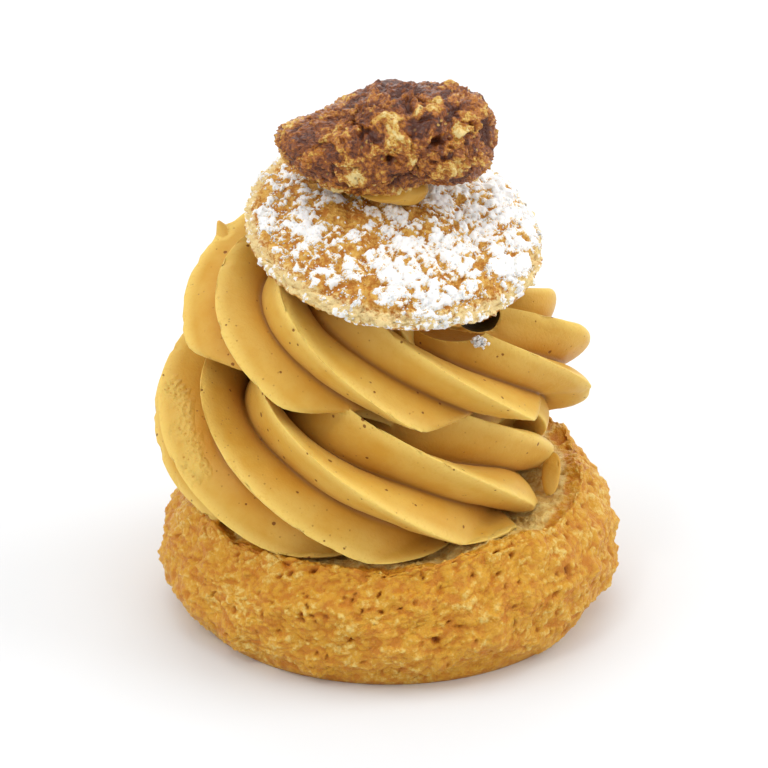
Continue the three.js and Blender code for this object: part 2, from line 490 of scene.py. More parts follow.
def set_points(mesh: bpy.types.Mesh, points: Array) -> None:
    """Moves the points of a mesh to places in millimetres."""
    mesh.vertices.foreach_set("co", (points * MILLIMETRE).astype(np.float32).ravel())
    mesh.update()


def dress_piece(piece: bpy.types.Object, material: bpy.types.Material, slot: Slot, *nodes: Node) -> None:
    """Gives a piece its material, sets it on the part's one body and hides the solids that it stands for.

    Args:
        piece: The finished piece.
        material: Its material.
        slot: The record's material slot; not used.
        *nodes: Solids that the piece replaces.
    """
    piece.data.materials.clear()
    piece.data.materials.append(material)
    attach(piece, "root")
    if nodes:
        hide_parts(*[node.value for node in nodes])
    piece.data.calc_loop_triangles()
    log.info("%s: %d triangles", piece.name, len(piece.data.loop_triangles))


class Web:
    """The edges of a mesh, for averages over neighbouring points."""

    def __init__(self, mesh: bpy.types.Mesh) -> None:
        """Reads the edges of a mesh.

        Args:
            mesh: The mesh.
        """
        edges = np.empty(len(mesh.edges) * 2, np.int32)
        mesh.edges.foreach_get("vertices", edges)
        self.start, self.end = edges.reshape(-1, 2).T
        self.count = len(mesh.vertices)
        self.degree = np.maximum(np.bincount(edges, minlength=self.count), 1)

    def average(self, values: Array) -> Array:
        """Mean of each point's neighbours.

        Args:
            values: One row, or one number, for each point.

        Returns:
            The means, in the same shape.
        """
        columns = values.reshape(self.count, -1)
        sums = [
            np.bincount(self.start, columns[self.end, c], self.count)
            + np.bincount(self.end, columns[self.start, c], self.count)
            for c in range(columns.shape[1])
        ]
        return (np.stack(sums, axis=1) / self.degree[:, None]).reshape(values.shape)

    def relax(self, values: Array, rounds: int, share: float = 0.5) -> Array:
        """Moves each value a share of the way to its neighbours' mean, some rounds over.

        Args:
            values: One row, or one number, for each point.
            rounds: Number of rounds.
            share: Share of the way in each round.

        Returns:
            The moved values.
        """
        for _ in range(rounds):
            values = blend(values, self.average(values), share)
        return values


# Shader expressions


class Term:
    """A shader socket in a Python expression: each operation adds one Math node."""

    def __init__(self, sheet: "Sheet", socket: bpy.types.NodeSocket) -> None:
        """Wraps a socket.

        Args:
            sheet: The material's node sheet.
            socket: An output socket of one of its nodes.
        """
        self.sheet = sheet
        self.socket = socket

    def _math(self, operation: str, *values: "Term | float") -> "Term":
        """The result of a Math node."""
        return self.sheet.node("ShaderNodeMath", {"operation": operation}, dict(enumerate(values)))

    def __add__(self, other: "Term | float") -> "Term":
        """Sum."""
        return self._math("ADD", self, other)

    __radd__ = __add__

    def __sub__(self, other: "Term | float") -> "Term":
        """Difference."""
        return self._math("SUBTRACT", self, other)

    def __rsub__(self, other: float) -> "Term":
        """Difference from a number."""
        return self._math("SUBTRACT", other, self)

    def __mul__(self, other: "Term | float") -> "Term":
        """Product."""
        return self._math("MULTIPLY", self, other)

    __rmul__ = __mul__

    def ease(self, low: float, high: float) -> "Term":
        """Smooth step from 0 at low to 1 at high."""
        inputs = {"Value": self, "From Min": low, "From Max": high}
        return self.sheet.node("ShaderNodeMapRange", {"interpolation_type": "SMOOTHSTEP"}, inputs)


class Sheet:
    """A material's node sheet with one Principled shader."""

    def __init__(self, name: str) -> None:
        """Makes the material.

        Args:
            name: The material's name.
        """
        self.material = bpy.data.materials.new(name)
        self.material.use_nodes = True
        self.tree = self.material.node_tree
        self.shader = self.tree.nodes["Principled BSDF"]
        metres = self.node("ShaderNodeTexCoord", {}, {}, "Object")
        scaling = {"Vector": metres, "Scale": 1 / MILLIMETRE}
        self.place = self.node("ShaderNodeVectorMath", {"operation": "SCALE"}, scaling)

    def node(self, kind: str, settings: dict, inputs: dict, output: str | int = 0) -> Term:
        """Adds a node.

        Args:
            kind: The node's type.
            settings: Values of the node itself, set first.
            inputs: Values or terms for its sockets, by name or number.
            output: Which output to return.

        Returns:
            The output as a term.
        """
        made = self.tree.nodes.new(kind)
        for key, value in settings.items():
            setattr(made, key, value)
        for key, value in inputs.items():
            if isinstance(value, Term):
                self.tree.links.new(value.socket, made.inputs[key])
            else:
                made.inputs[key].default_value = value
        return Term(self, made.outputs[output])

    def field(self, name: str) -> Term:
        """A number stored on the piece's points."""
        return self.node("ShaderNodeAttribute", {"attribute_name": name}, {}, "Fac")

    def shifted(self, shift: float) -> Term:
        """The place in millimetres, moved by a shift along every axis to give another pattern."""
        inputs = {0: self.place, 1: (shift, shift, shift)}
        return self.node("ShaderNodeVectorMath", {"operation": "ADD"}, inputs)

    def noise(self, size: float, detail: float, roughness: float, shift: float = 0) -> Term:
        """Noise from 0 to 1 with lumps of a size in millimetres.

        Args:
            size: Width of the widest lumps.
            detail: Number of finer layers.
            roughness: Strength of the finer layers.
            shift: Offset that gives another pattern.

        Returns:
            The field.
        """
        inputs = {"Vector": self.shifted(shift), "Scale": 1 / size, "Detail": detail, "Roughness": roughness}
        return self.node("ShaderNodeTexNoise", {}, inputs, "Fac")

    def cells(self, size: float, shift: float) -> Term:
        """Distance in cells to the nearest of points scattered one to a cell of a size in millimetres."""
        inputs = {"Vector": self.shifted(shift), "Scale": 1 / size}
        return self.node("ShaderNodeTexVoronoi", {}, inputs, "Distance")

    def mix(self, share: Term | float, first: Term | Colour, second: Term | Colour) -> Term:
        """Blend of two colours, which are inputs 6 and 7 and output 2 of a Mix node.

        Args:
            share: 0 gives the first, 1 the second.
            first: First colour.
            second: Second colour.

        Returns:
            The blended colour.
        """
        inputs = {0: share, 6: first, 7: second}
        return self.node("ShaderNodeMix", {"data_type": "RGBA"}, inputs, 2)

    def bump(self, height: Term, depth: float) -> Term:
        """Normal of a surface raised by a height from 0 to 1 times a depth in millimetres."""
        inputs = {"Height": height, "Distance": depth * MILLIMETRE, "Strength": 1.0}
        return self.node("ShaderNodeBump", {}, inputs, "Normal")

    def finish(self, links: dict[str, Term], values: dict[str, object]) -> bpy.types.Material:
        """Feeds the shader.

        Args:
            links: Terms for the sockets that change over the surface.
            values: Constant values, set on the sockets themselves.

        Returns:
            The material.
        """
        for key, value in values.items():
            self.shader.inputs[key].default_value = value
        for key, term in links.items():
            self.tree.links.new(term.socket, self.shader.inputs[key])
        return self.material


@dataclass(frozen=True)
class Dots:
    """Round dots at scattered points, kept only in patches of noise."""

    size: float
    shift: float
    edge: Pair
    patch_size: float
    patch_shift: float
    patch_edge: Pair

    def mask(self, sheet: Sheet) -> Term:
        """1 on the dots and 0 between them.

        Args:
            sheet: The material's node sheet.

        Returns:
            The mask.
        """
        dot = 1 - sheet.cells(self.size, self.shift).ease(*self.edge)
        return dot * sheet.noise(self.patch_size, 2, 0.5, self.patch_shift).ease(*self.patch_edge)


# Finishes


@dataclass(frozen=True)
class CrustFinish:
    """Baked crumbly crust: pale crumbs, golden body, orange hollows and a moist pale cut face, with a
    painted highlight on raised crumbs and painted shade in the hollows and deepest pits.
    """

    pale: Colour = screen_colour(243, 212, 122)
    golden: Colour = screen_colour(221, 161, 40)
    orange: Colour = screen_colour(202, 126, 22)
    # dark is painted shade for the deepest pits and hollows.
    dark: Colour = screen_colour(150, 76, 14)
    cut: Colour = screen_colour(250, 230, 152)
    cut_shade: Colour = screen_colour(226, 186, 98)

    def make(self) -> bpy.types.Material:
        """Builds the material, which reads the fields height, tone and cut.

        Returns:
            The material.
        """
        sheet = Sheet("choux_crust")
        height = sheet.field("height")
        tone = sheet.field("tone") - 0.5
        patches = sheet.noise(7.0, 3, 0.6) - 0.5
        grains = sheet.noise(0.55, 3, 0.65, 40)
        spots = sheet.noise(1.7, 3, 0.6, 65) - 0.5
        # Low relief pushes the colour towards orange: painted shade in the hollows, on top of random tone,
        # patches and spots.
        warm = height * 1.3 + tone * 0.8 + patches * 1.2 + spots * 1.9 + (grains - 0.5) * 1.2
        colour = sheet.mix(warm.ease(-0.8, 0.3), self.orange, self.golden)
        # The height term makes raised crumbs a little paler: painted highlight, on top of random paleness.
        light = height * 0.5 + tone * 0.9 + patches * 1.8 + (grains - 0.5) * 2.4
        colour = sheet.mix(light.ease(0.1, 0.9) * 0.85, colour, self.pale)
        # Painted shade: the deepest pits and hollows are mixed towards the dark colour.
        colour = sheet.mix((0 - height).ease(0.6, 1.7) * 0.8, colour, self.dark)
        crumb = sheet.mix(sheet.noise(1.3, 4, 0.7, 80).ease(0.35, 0.65), self.cut_shade, self.cut)
        moist = sheet.field("cut") * 1.2 + patches * 1.6 + tone * 0.6
        colour = sheet.mix(moist.ease(0.55, 1.05) * 0.8, colour, crumb)
        roughness = 0.62 - grains * 0.45
        bump = sheet.bump(sheet.noise(0.4, 3, 0.7, 20) + grains * 0.5, 0.4)
        constants = {"Specular IOR Level": 0.42, "Subsurface Weight": 0.06, "Subsurface Scale": 0.0008,
                     "Subsurface Radius": WARM_GLOW}
        return sheet.finish({"Base Color": colour, "Roughness": roughness, "Normal": bump}, constants)


@dataclass(frozen=True)
class CreamFinish:
    """Praline cream: smooth and a little translucent, with specks of nut and small burst bubbles, a painted
    highlight on its crests, painted shade in its grooves, cut faces and torn band, and a painted near-black
    shadow in the gap under the cap.
    """

    body: Colour = screen_colour(214, 172, 80)
    warm: Colour = screen_colour(206, 155, 57)
    # crest is a painted highlight colour for the crests; it also pales the torn band.
    crest: Colour = screen_colour(230, 196, 102)
    # The groove colour is painted shade for the grooves, the cut faces against bun and cap, and the ledge
    # under the cap.
    groove_shade: Colour = screen_colour(186, 116, 18)
    # speck colours the pits and pores, and is also painted shade at the bottoms of the grooves and on the
    # cut faces.
    speck: Colour = screen_colour(122, 64, 14)
    # Near-black painted shadow for the gap under the cap.
    cavity_shadow: Colour = screen_colour(24, 12, 5)
    pores: Dots = Dots(1.2, 33, (0.05, 0.16), 3, 70, (0.4, 0.55))

    def make(self) -> bpy.types.Material:
        """Builds the material, which reads the fields fold and torn.

        Returns:
            The material.
        """
        sheet = Sheet("praline_cream")
        groove_shade = sheet.field("groove_shade")
        cloud = sheet.noise(7, 4, 0.6)
        colour = sheet.mix(cloud.ease(0.3, 0.75), self.body, self.warm)
        # Painted highlight: crests, where the level is near 0, are mixed towards the pale crest colour.
        colour = sheet.mix(1 - groove_shade.ease(0.0, 0.3), colour, self.crest)
        # Painted shade: grooves and cut faces are mixed, by their level, up to half way towards the groove
        # colour.
        colour = sheet.mix(groove_shade.ease(0.3, 1.0) * 0.5, colour, self.groove_shade)
        size = sheet.noise(2.3, 2, 0.6, 60).ease(0.4, 0.75) * 0.19
        ragged = sheet.cells(1.9, 15) - size + sheet.noise(0.5, 2, 0.5, 44) * 0.08
        pits = 1 - ragged.ease(0.02, 0.07)
        pores = self.pores.mask(sheet)
        grain = sheet.noise(0.45, 2, 0.6, 90)
        colour = sheet.mix((grain - 0.5).ease(0.0, 0.3) * 0.4, colour, self.warm)
        torn = sheet.field("torn")
        shred = sheet.cells(0.8, 52)
        # The torn band is paled towards the crest colour, and painted shade darkens its low places between
        # the shreds towards the groove colour.
        colour = sheet.mix(torn * 0.6, colour, self.crest)
        colour = sheet.mix(torn * (1 - shred.ease(0.1, 0.3)) * 0.6, colour, self.groove_shade)
        # Painted shade: the bottoms of the grooves and the cut faces are mixed towards the speck colour.
        colour = sheet.mix(groove_shade.ease(0.78, 1.0) * 0.7, colour, self.speck)
        colour = sheet.mix(pits * 0.85 + pores * 0.4, colour, self.speck)
        # Painted shadow: the gap cut under the cap, whose level is 2, turns near black.
        colour = sheet.mix(groove_shade.ease(1.1, 1.8), colour, self.cavity_shadow)
        shreds = shred * 3.0 + sheet.noise(0.5, 3, 0.7, 61) * 2.0
        relief = grain * 0.45 + torn * shreds - pits * 0.6 - pores * 0.5
        constants = {"Roughness": 0.45, "Specular IOR Level": 0.2, "Subsurface Weight": 0.2,
                     "Subsurface Scale": 0.0007, "Subsurface Radius": WARM_GLOW,
                     "Sheen Weight": 0.1, "Sheen Roughness": 0.5, "Sheen Tint": (1.0, 0.88, 0.4, 1.0)}
        return sheet.finish({"Base Color": colour, "Normal": sheet.bump(relief, 0.12)}, constants)


@dataclass(frozen=True)
class CapFinish:
    """Crown of the bun: orange-brown plates, pale crumbly edge and a fine dusting of sugar grains."""

    orange: Colour = screen_colour(220, 170, 78)
    brown: Colour = screen_colour(182, 114, 38)
    pale: Colour = screen_colour(242, 220, 160)
    sugar: Colour = screen_colour(250, 248, 244)

    def make(self) -> bpy.types.Material:
        """Builds the material, which reads the fields edge and dust.

        Returns:
            The material.
        """
        sheet = Sheet("cap_crust")
        patches = sheet.noise(2.2, 4, 0.65)
        crumb = sheet.noise(0.6, 3, 0.65, 30)
        colour = sheet.mix((patches + (crumb - 0.5) * 0.8).ease(0.35, 0.65), self.brown, self.orange)
        rim = sheet.field("edge") * 0.35 + crumb - 0.5
        colour = sheet.mix(rim.ease(0.05, 0.35) * 0.85, colour, self.pale)
        grains = sheet.noise(0.36, 2, 0.6, 50)
        dusted = sheet.field("dust") * 0.4 + grains - 0.5
        colour = sheet.mix(dusted.ease(0.0, 0.12), colour, self.sugar)
        bump = sheet.bump(crumb + grains * 0.5, 0.35)
        constants = {"Roughness": 0.7, "Specular IOR Level": 0.3, "Subsurface Weight": 0.05,
                     "Subsurface Scale": 0.001, "Subsurface Radius": (1.0, 0.5, 0.25)}
        return sheet.finish({"Base Color": colour, "Normal": bump}, constants)


@dataclass(frozen=True)
class SugarFinish:
    """Icing sugar in soft white clumps."""

    bright: Colour = screen_colour(251, 250, 247)
    thin: Colour = screen_colour(226, 184, 108)

    def make(self) -> bpy.types.Material:
        """Builds the material, which reads the field depth.

        Returns:
            The material.
        """
        sheet = Sheet("icing_sugar")
        grain = sheet.noise(0.24, 2, 0.65, 70)
        cover = sheet.field("depth") + (grain - 0.5) * 0.5
        colour = sheet.mix(cover.ease(0.0, 0.1), self.thin, self.bright)
        bump = sheet.bump(sheet.noise(0.3, 3, 0.7), 0.12)
        constants = {"Roughness": 0.9, "Specular IOR Level": 0.2, "Subsurface Weight": 0.6,
                     "Subsurface Scale": 0.0008, "Subsurface Radius": (1.0, 0.9, 0.8)}
        return sheet.finish({"Base Color": colour, "Normal": bump}, constants)


@dataclass(frozen=True)
class CaramelFinish:
    """Candied nut: red-brown caramel over tan nut and pale crumbs, partly glossy, with painted shade in its
    crevices and holes.
    """

    burnt_and_crevice_shade: Colour = screen_colour(84, 34, 4)
    caramel: Colour = screen_colour(137, 70, 10)
    amber: Colour = screen_colour(187, 114, 30)
    honey: Colour = screen_colour(221, 174, 76)
    nut: Colour = screen_colour(238, 212, 142)
    chips: Dots = Dots(1.3, 25, (0.12, 0.2), 4, 48, (0.4, 0.6))
    burns: Dots = Dots(1.1, 47, (0.14, 0.24), 4, 83, (0.45, 0.6))

    def make(self) -> bpy.types.Material:
        """Builds the material, which reads the fields height and tone.

        Returns:
            The material.
        """
        sheet = Sheet("candied_nut")
        height = sheet.field("height")
        tone = sheet.field("tone")
        middle = sheet.noise(1.6, 4, 0.65, 31)
        fine = sheet.noise(0.5, 3, 0.7, 57)
        broad = sheet.noise(6, 2, 0.5, 12)
        # The height term makes raised coat a little paler, a painted highlight; the rest of the stir is
        # random tone.
        stir = tone + (middle - 0.5) + (fine - 0.5) * 1.3 + (broad - 0.5) * 0.6 + height * 0.12
        colour = sheet.mix(stir.ease(0.1, 0.34), self.burnt_and_crevice_shade, self.caramel)
        colour = sheet.mix(stir.ease(0.42, 0.56), colour, self.amber)
        colour = sheet.mix(stir.ease(0.68, 0.76), colour, self.honey)
        colour = sheet.mix(stir.ease(0.82, 0.98), colour, self.nut)
        colour = sheet.mix(self.chips.mask(sheet) * 0.7, colour, self.honey)
        colour = sheet.mix(self.burns.mask(sheet) * 0.6, colour, self.burnt_and_crevice_shade)
        # Painted shade: crevices and holes, where the relief is lowest, are mixed towards the darkest
        # caramel colour.
        colour = sheet.mix((0 - height).ease(0.4, 1.1) * 0.85, colour, self.burnt_and_crevice_shade)
        roughness = 0.22 + stir.ease(0.6, 0.85) * 0.4 + fine * 0.15
        bump = sheet.bump(fine + middle * 0.4, 0.5)
        constants = {"Specular IOR Level": 0.35, "Coat Weight": 0.35, "Coat Roughness": 0.06}
        return sheet.finish({"Base Color": colour, "Roughness": roughness, "Normal": bump}, constants)


@dataclass(frozen=True)
class FloorFinish:
    """Plain pale studio floor."""

    tone: Colour = screen_colour(228, 230, 232)

    def make(self) -> bpy.types.Material:
        """Builds the material."""
        sheet = Sheet("studio_floor")
        return sheet.finish({}, {"Base Color": self.tone, "Roughness": 0.8, "Specular IOR Level": 0.1})


# The bun's pieces. A pair of sizes is a width and a height, and a pair of bounds a start and an end.


@dataclass
class ChouxBase:
    """The crackled bun, flat under and cut open along a sloping rim."""

    foot_radius: float = 28.5
    belly_radius: float = 32.7
    belly_height: float = 9.0
    rim_radius: float = 27.4
    rim_height: float = 20.4
    hollow_height: float = 17.4
    rim_lift: float = 3.0
    rim_high_side: float = math.radians(50)
    dip: float = 2.0
    dip_side: float = math.radians(2)
    rim_share: float = 5 / 8
    hollow_share: float = 7 / 8
    cut_share: float = 5.9 / 8
    side_rows: int = 112
    rim_rows: int = 30
    hollow_rows: int = 8
    columns: int = 650
    seat_rows: int = 44
    seat_columns: int = 120
    seat_gap: float = 0.3
    lump: Pair = (7.0, 0.7)
    swell: Pair = (3.6, 0.7)
    dent: Pair = (1.9, 0.4)
    rim_lump: Pair = (6.0, 0.6)
    rim_lump_rise: Pair = (11.0, 18.0)
    large_crumb: Pair = (2.3, 0.3)
    small_crumb: Pair = (0.95, 0.5)
    crumb_step: float = 0.3
    grit: Pair = (0.8, 0.12)
    hollows: Pits = Pits(1.7, 0.75, 0.35, (0.06, 0.36))
    streak: Triple = (1.3, 1.3, 0.7)
    pits: Pits = Pits(6.0, 0.9, 0.2, (0.05, 0.12))
    holes: tuple[Triple, ...] = (
        (-14.5, -24.1, 19.8), (-10.5, -26.3, 19.7), (-9.3, -31.1, 13.4), (-24.6, -20.1, 8.6),
    )
    hole_reach: float = 0.55
    hole_depth: float = 1.4
    shrink: float = 0.6
    seed: int = 11
    finish: CrustFinish = field(default_factory=CrustFinish)

    def profile(self) -> Array:
        """The outline from the foot's edge over the rim to the hollow.

        Returns:
            Radius and height of each knot.
        """
        return np.array([
            (self.foot_radius, 0),
            (self.belly_radius - 0.6, self.belly_height * 0.45),
            (self.belly_radius, self.belly_height),
            (self.belly_radius - 0.7, self.belly_height + 5),
            (self.rim_radius + 1.8, self.rim_height - 1.4),
            (self.rim_radius, self.rim_height),
            (self.rim_radius - 2, self.rim_height - 0.7),
            (self.rim_radius - 7, self.hollow_height + 1.4),
            (self.rim_radius - 17, self.hollow_height),
        ])

    def lift(self, angle: Array, height: Array) -> Array:
        """Rise of the sloping rim: a cosine about the high side less a dip, eased in from the belly up.

        Args:
            angle: Places round the axis.
            height: Heights before the rise.

        Returns:
            The rise at each place.
        """
        slope = self.rim_lift * np.cos(angle - self.rim_high_side)
        slope = slope - self.dip * ease(np.cos(angle - self.dip_side), 0.4, 1.0)
        return slope * ease(height, self.belly_height * 0.5, self.rim_height)

    def relief(self, points: Array) -> tuple[Array, Array, Array]:
        """Crust relief in millimetres: broad lumps and dents, then crumbs of two sizes, grit and pits.

        Args:
            points: Places on the smooth bun.

        Returns:
            Height to add along the outward normal, the finer part of it, and a tone for each crumb.
        """
        moved = wander(points, 1.7, 0.6, self.seed + 1)
        streaked = wander(wander(points, 3.2, 1.3, self.seed + 2), 0.8, 0.4, self.seed + 2) * self.streak
        broad = swells(points, self.lump, self.seed) + swells(points, self.swell, self.seed + 6)
        broad += swells(moved, self.dent, self.seed + 10)
        broad += ease(points[..., 2], *self.rim_lump_rise) * swells(points, self.rim_lump, self.seed + 3)
        large, _, large_tone = crumbs(moved, self.large_crumb[0], self.seed + 4)
        small, second, small_tone = crumbs(moved, self.small_crumb[0], self.seed + 5)
        fine = self.large_crumb[1] * (0.5 - large) + self.small_crumb[1] * (0.48 - small)
        fine += self.crumb_step * (small_tone - 0.5) * ease(second - small, 0.0, 0.3)
        fine += rough(points, self.grit, self.seed + 7)
        fine -= self.hollows.relief(streaked, self.seed + 8) + self.pits.relief(moved, self.seed + 9)
        for place in self.holes:
            fine -= self.hole_depth * spot(moved, place, self.hole_reach)
        return broad + fine - self.shrink, fine, blend(large_tone, small_tone, 0.6)

    def smooth_solid(self) -> Solid:
        """The bun without its relief, drawn in a little, to cut the cream to its seat.

        Returns:
            Points and triangles.
        """
        share, angle = np.linspace(0, 1, self.seat_rows)[:, None], round_angles(self.seat_columns)
        outline, _ = spline(self.profile(), share)
        radius, height = outline[..., 0], outline[..., 1]
        rings = about_axis(radius - self.seat_gap, height - self.seat_gap, angle)
        rings[..., 2] += self.lift(angle, height)
        ends = np.array([[0, 0, -self.seat_gap], [0, 0, self.hollow_height - self.seat_gap]])
        return closed_grid(rings, ends[0], ends[1])

    def build(self) -> bpy.types.Object:
        """Turns the profile about the axis, adds the relief along the normals and lifts the rim.

        Returns:
            The dressed crust.
        """
        share = np.concatenate([
            np.linspace(0, self.rim_share, self.side_rows, endpoint=False),
            np.linspace(self.rim_share, self.hollow_share, self.rim_rows, endpoint=False),
            np.linspace(self.hollow_share, 1, self.hollow_rows),
        ])
        share, angle = np.broadcast_arrays(share[:, None], round_angles(self.columns))
        smooth, outward = turned_profile(self.profile(), share, angle)
        height = smooth[..., 2]
        cut = ease(share, self.cut_share - 0.02, self.cut_share + 0.05)
        relief, fine, tone = self.relief(smooth)
        relief = relief * ease(height, 0.2, 2.0) * blend(1.0, 0.8, cut)
        rings = smooth + outward * relief[..., None]
        rings[..., 2] = np.maximum(rings[..., 2] + self.lift(angle, height), 0)
        ends = np.array([[0, 0, 0], [0, 0, self.hollow_height]])
        piece = new_piece("choux_base_crust", *closed_grid(rings, ends[0], ends[1]))
        set_ring_fields(piece, height=fine * 1.6, tone=tone)
        set_field(piece, "cut", np.concatenate([[0], cut.ravel(), [1]]))
        dress_piece(piece, self.finish.make(), Slot.CRUST, Node.BASE)
        return piece


@dataclass
class CrustCap:
    """The cut-off crown: a shallow dome tipped to the front and right, with icing sugar on it."""

    radius: float = 20.8
    dome: float = 5.4
    rim_thickness: float = 2.2
    centre: Triple = (0.5, -0.5, 55.4)
    tip: float = math.radians(14.7)
    roll: float = math.radians(7.0)
    rows: int = 150
    columns: int = 420
    seat_rows: int = 36
    seat_columns: int = 100
    lump: Pair = (5.0, 0.55)
    plate: Pair = (4.6, 0.25)
    crack_depth: float = 0.5
    crack_edge: Pair = (0.03, 0.2)
    crumb: Pair = (1.0, 0.5)
    crumb_step: float = 0.25
    edge_crumb: Pair = (0.7, 0.55)
    edge_crumb_step: float = 0.4
    edge_lump: Pair = (1.7, 0.6)
    grit: Pair = (0.8, 0.1)
    sugar_rows: int = 190
    sugar_columns: int = 480
    sugar_share: float = 2.6 / 6
    sugar_depth: float = 0.2
    sugar_sink: float = 0.2
    sugar_grit: Pair = (0.6, 0.04)
    clumps: tuple[Pair, ...] = ((4.2, 0.4), (2.0, 0.5), (1.0, 0.35), (0.55, 0.4), (0.33, 0.3))
    clump_lean: float = 0.3
    bare: tuple[Triple, ...] = ((-8.5, -2.0, 1.5), (-5.8, -3.2, 1.5), (-2.6, -4.4, 1.5))
    bareness: float = 0.7
    bare_reach: float = 1.6
    seed: int = 23
    finish: CapFinish = field(default_factory=CapFinish)
    sugar_finish: SugarFinish = field(default_factory=SugarFinish)

    def profile(self) -> Array:
        """The outline from the underside round the rim to the crown.

        Returns:
            Radius and height of each knot.
        """
        return np.array([
            (self.radius * 0.5, 0),
            (self.radius - 1.4, 0),
            (self.radius, self.rim_thickness * 0.5),
            (self.radius - 1, self.rim_thickness),
            (self.radius * 0.75, self.rim_thickness + self.dome * 0.4),
            (self.radius * 0.38, self.dome),
            (self.radius * 0.1, self.dome + 0.5),
        ])

    def turning(self) -> Array:
        """Rotation of the tipped and rolled cap, about X and then about its own Y.

        Returns:
            The three by three matrix.
        """
        c, s = math.cos(self.tip), math.sin(self.tip)
        tip = np.array([[1, 0, 0], [0, c, -s], [0, s, c]])
        c, s = math.cos(self.roll), math.sin(self.roll)
        roll = np.array([[c, 0, s], [0, 1, 0], [-s, 0, c]])
        return tip @ roll

    def in_place(self, points: Array) -> Array:
        """Points of the cap's own frame in the part's frame."""
        return points @ self.turning().T + np.array(self.centre)

    def on_axis(self, height: float) -> Array:
        """The point of the cap's axis at a height, in the part's frame."""
        return self.in_place(np.array([0.0, 0.0, height]))

    def crust(self, share: Array, angle: Array) -> tuple[Array, Array, Array, Array]:
        """The crackled crown in its own frame.

        The profile is turned about the axis and raised along its normal by broad lumps, plates with
        cracks between them, and crumbs that are coarser at the rim.

        Args:
            share: Places along the profile.
            angle: Places round the axis.

        Returns:
            Points, normals of the smooth dome, how far each is at the rim's edge, and how well sugar holds.
        """
        smooth, outward = turned_profile(self.profile(), share, angle)
        radius, height = np.hypot(smooth[..., 0], smooth[..., 1]), smooth[..., 2]
        above = ease(height, 0, self.rim_thickness)
        edge = ease(radius, self.radius - 2.2, self.radius - 0.4) * ease(height, 0.2, 1.0)
        moved = wander(smooth, 2.2, 0.8, self.seed + 1)
        near, second, _ = crumbs(moved, self.plate[0], self.seed + 4)
        crack = 1 - ease(second - near, *self.crack_edge)
        crumb, _, tone = crumbs(wander(smooth, 1.2, 0.35, self.seed + 2), self.crumb[0], self.seed + 5)
        bits, _, bit_tone = crumbs(smooth, self.edge_crumb[0], self.seed + 9)
        coarse = self.edge_crumb[1] * (0.5 - bits) + self.edge_crumb_step * (bit_tone - 0.5)
        grit = self.crumb[1] * (0.5 - crumb) + self.crumb_step * (tone - 0.5) + edge * coarse
        relief = swells(smooth, self.lump, self.seed) + self.plate[1] - self.crack_depth * crack
        relief = above * relief + grit + rough(smooth, self.grit, self.seed + 6)
        relief += edge * swells(smooth, self.edge_lump, self.seed + 8)
        relief = relief * ease(height, -0.1, 0.5)
        return smooth + outward * relief[..., None], outward, edge, 2.2 * grit - 0.6 * crack

    def smooth_solid(self) -> Solid:
        """The cap without its relief, drawn in a little, to cut the cream to its underside.

        Returns:
            Points and triangles.
        """
        share, angle = np.linspace(0, 1, self.seat_rows)[:, None], round_angles(self.seat_columns)
        outline, _ = spline(self.profile(), share)
        rings = self.in_place(about_axis(outline[..., 0] - 0.15, outline[..., 1] + 0.1, angle))
        return closed_grid(rings, self.on_axis(0.1), self.on_axis(self.dome + 0.6))

    def sugar_cover(self, points: Array) -> Array:
        """How thickly sugar lies: noise of several sizes over the plan, above 0 where there is any.

        Args:
            points: Places on the crust in the cap's own frame.

        Returns:
            The cover at each place, thicker to the right and less at the bare spots.
        """
        flat = points * np.array([1, 1, 0.3])
        cover = self.clump_lean * points[..., 0] / self.radius
        for number, clump in enumerate(self.clumps):
            cover = cover + swells(flat, clump, self.seed + 20 + number)
        for place in self.bare:
            cover = cover - self.bareness * spot(flat, place, self.bare_reach)
        return cover

    def build(self) -> bpy.types.Object:
        """Builds the crown's crust.

        Returns:
            The dressed crust.
        """
        share = np.linspace(0, 1, self.rows)[:, None]
        points, _, edge, hold = self.crust(*np.broadcast_arrays(share, round_angles(self.columns)))
        grid = closed_grid(self.in_place(points), self.on_axis(0.0), self.on_axis(self.dome + 0.5))
        piece = new_piece("cap_crust_crown", *grid)
        set_ring_fields(piece, edge=edge, dust=self.sugar_cover(points) + hold)
        dress_piece(piece, self.finish.make(), Slot.CAP, Node.CAP)
        return piece

    def dust(self) -> bpy.types.Object:
        """Builds the icing sugar: a skin that rises out of the crust in clumps and is sunk elsewhere.

        Returns:
            The dressed sugar.
        """
        share = np.linspace(self.sugar_share, 1, self.sugar_rows)[:, None]
        grid = np.broadcast_arrays(share, round_angles(self.sugar_columns))
        points, outward, edge, hold = self.crust(*grid)
        cover = self.sugar_cover(points) + 0.4 + 0.6 * hold - 0.7 * edge
        depth = self.sugar_depth * (1 - np.exp(-2.5 * np.maximum(cover, 0)))
        depth = depth - self.sugar_sink * ease(-cover, -0.02, 0.15)
        grain = rough(points, self.sugar_grit, self.seed + 30) * (depth > 0)
        skin = points + outward * (depth + grain)[..., None]
        hem = points[:1] * np.array([0.9, 0.9, 1.0]) - np.array([0.0, 0.0, 0.5])
        rings = self.in_place(np.concatenate([hem, skin]))
        crown = self.in_place(skin[-1].mean(axis=0))
        piece = new_piece("icing_sugar", *closed_grid(rings, self.on_axis(1.2), crown))
        set_ring_fields(piece, depth=np.concatenate([np.zeros((1, self.sugar_columns)), depth]))
        dress_piece(piece, self.sugar_finish.make(), Slot.CAP)
        return piece


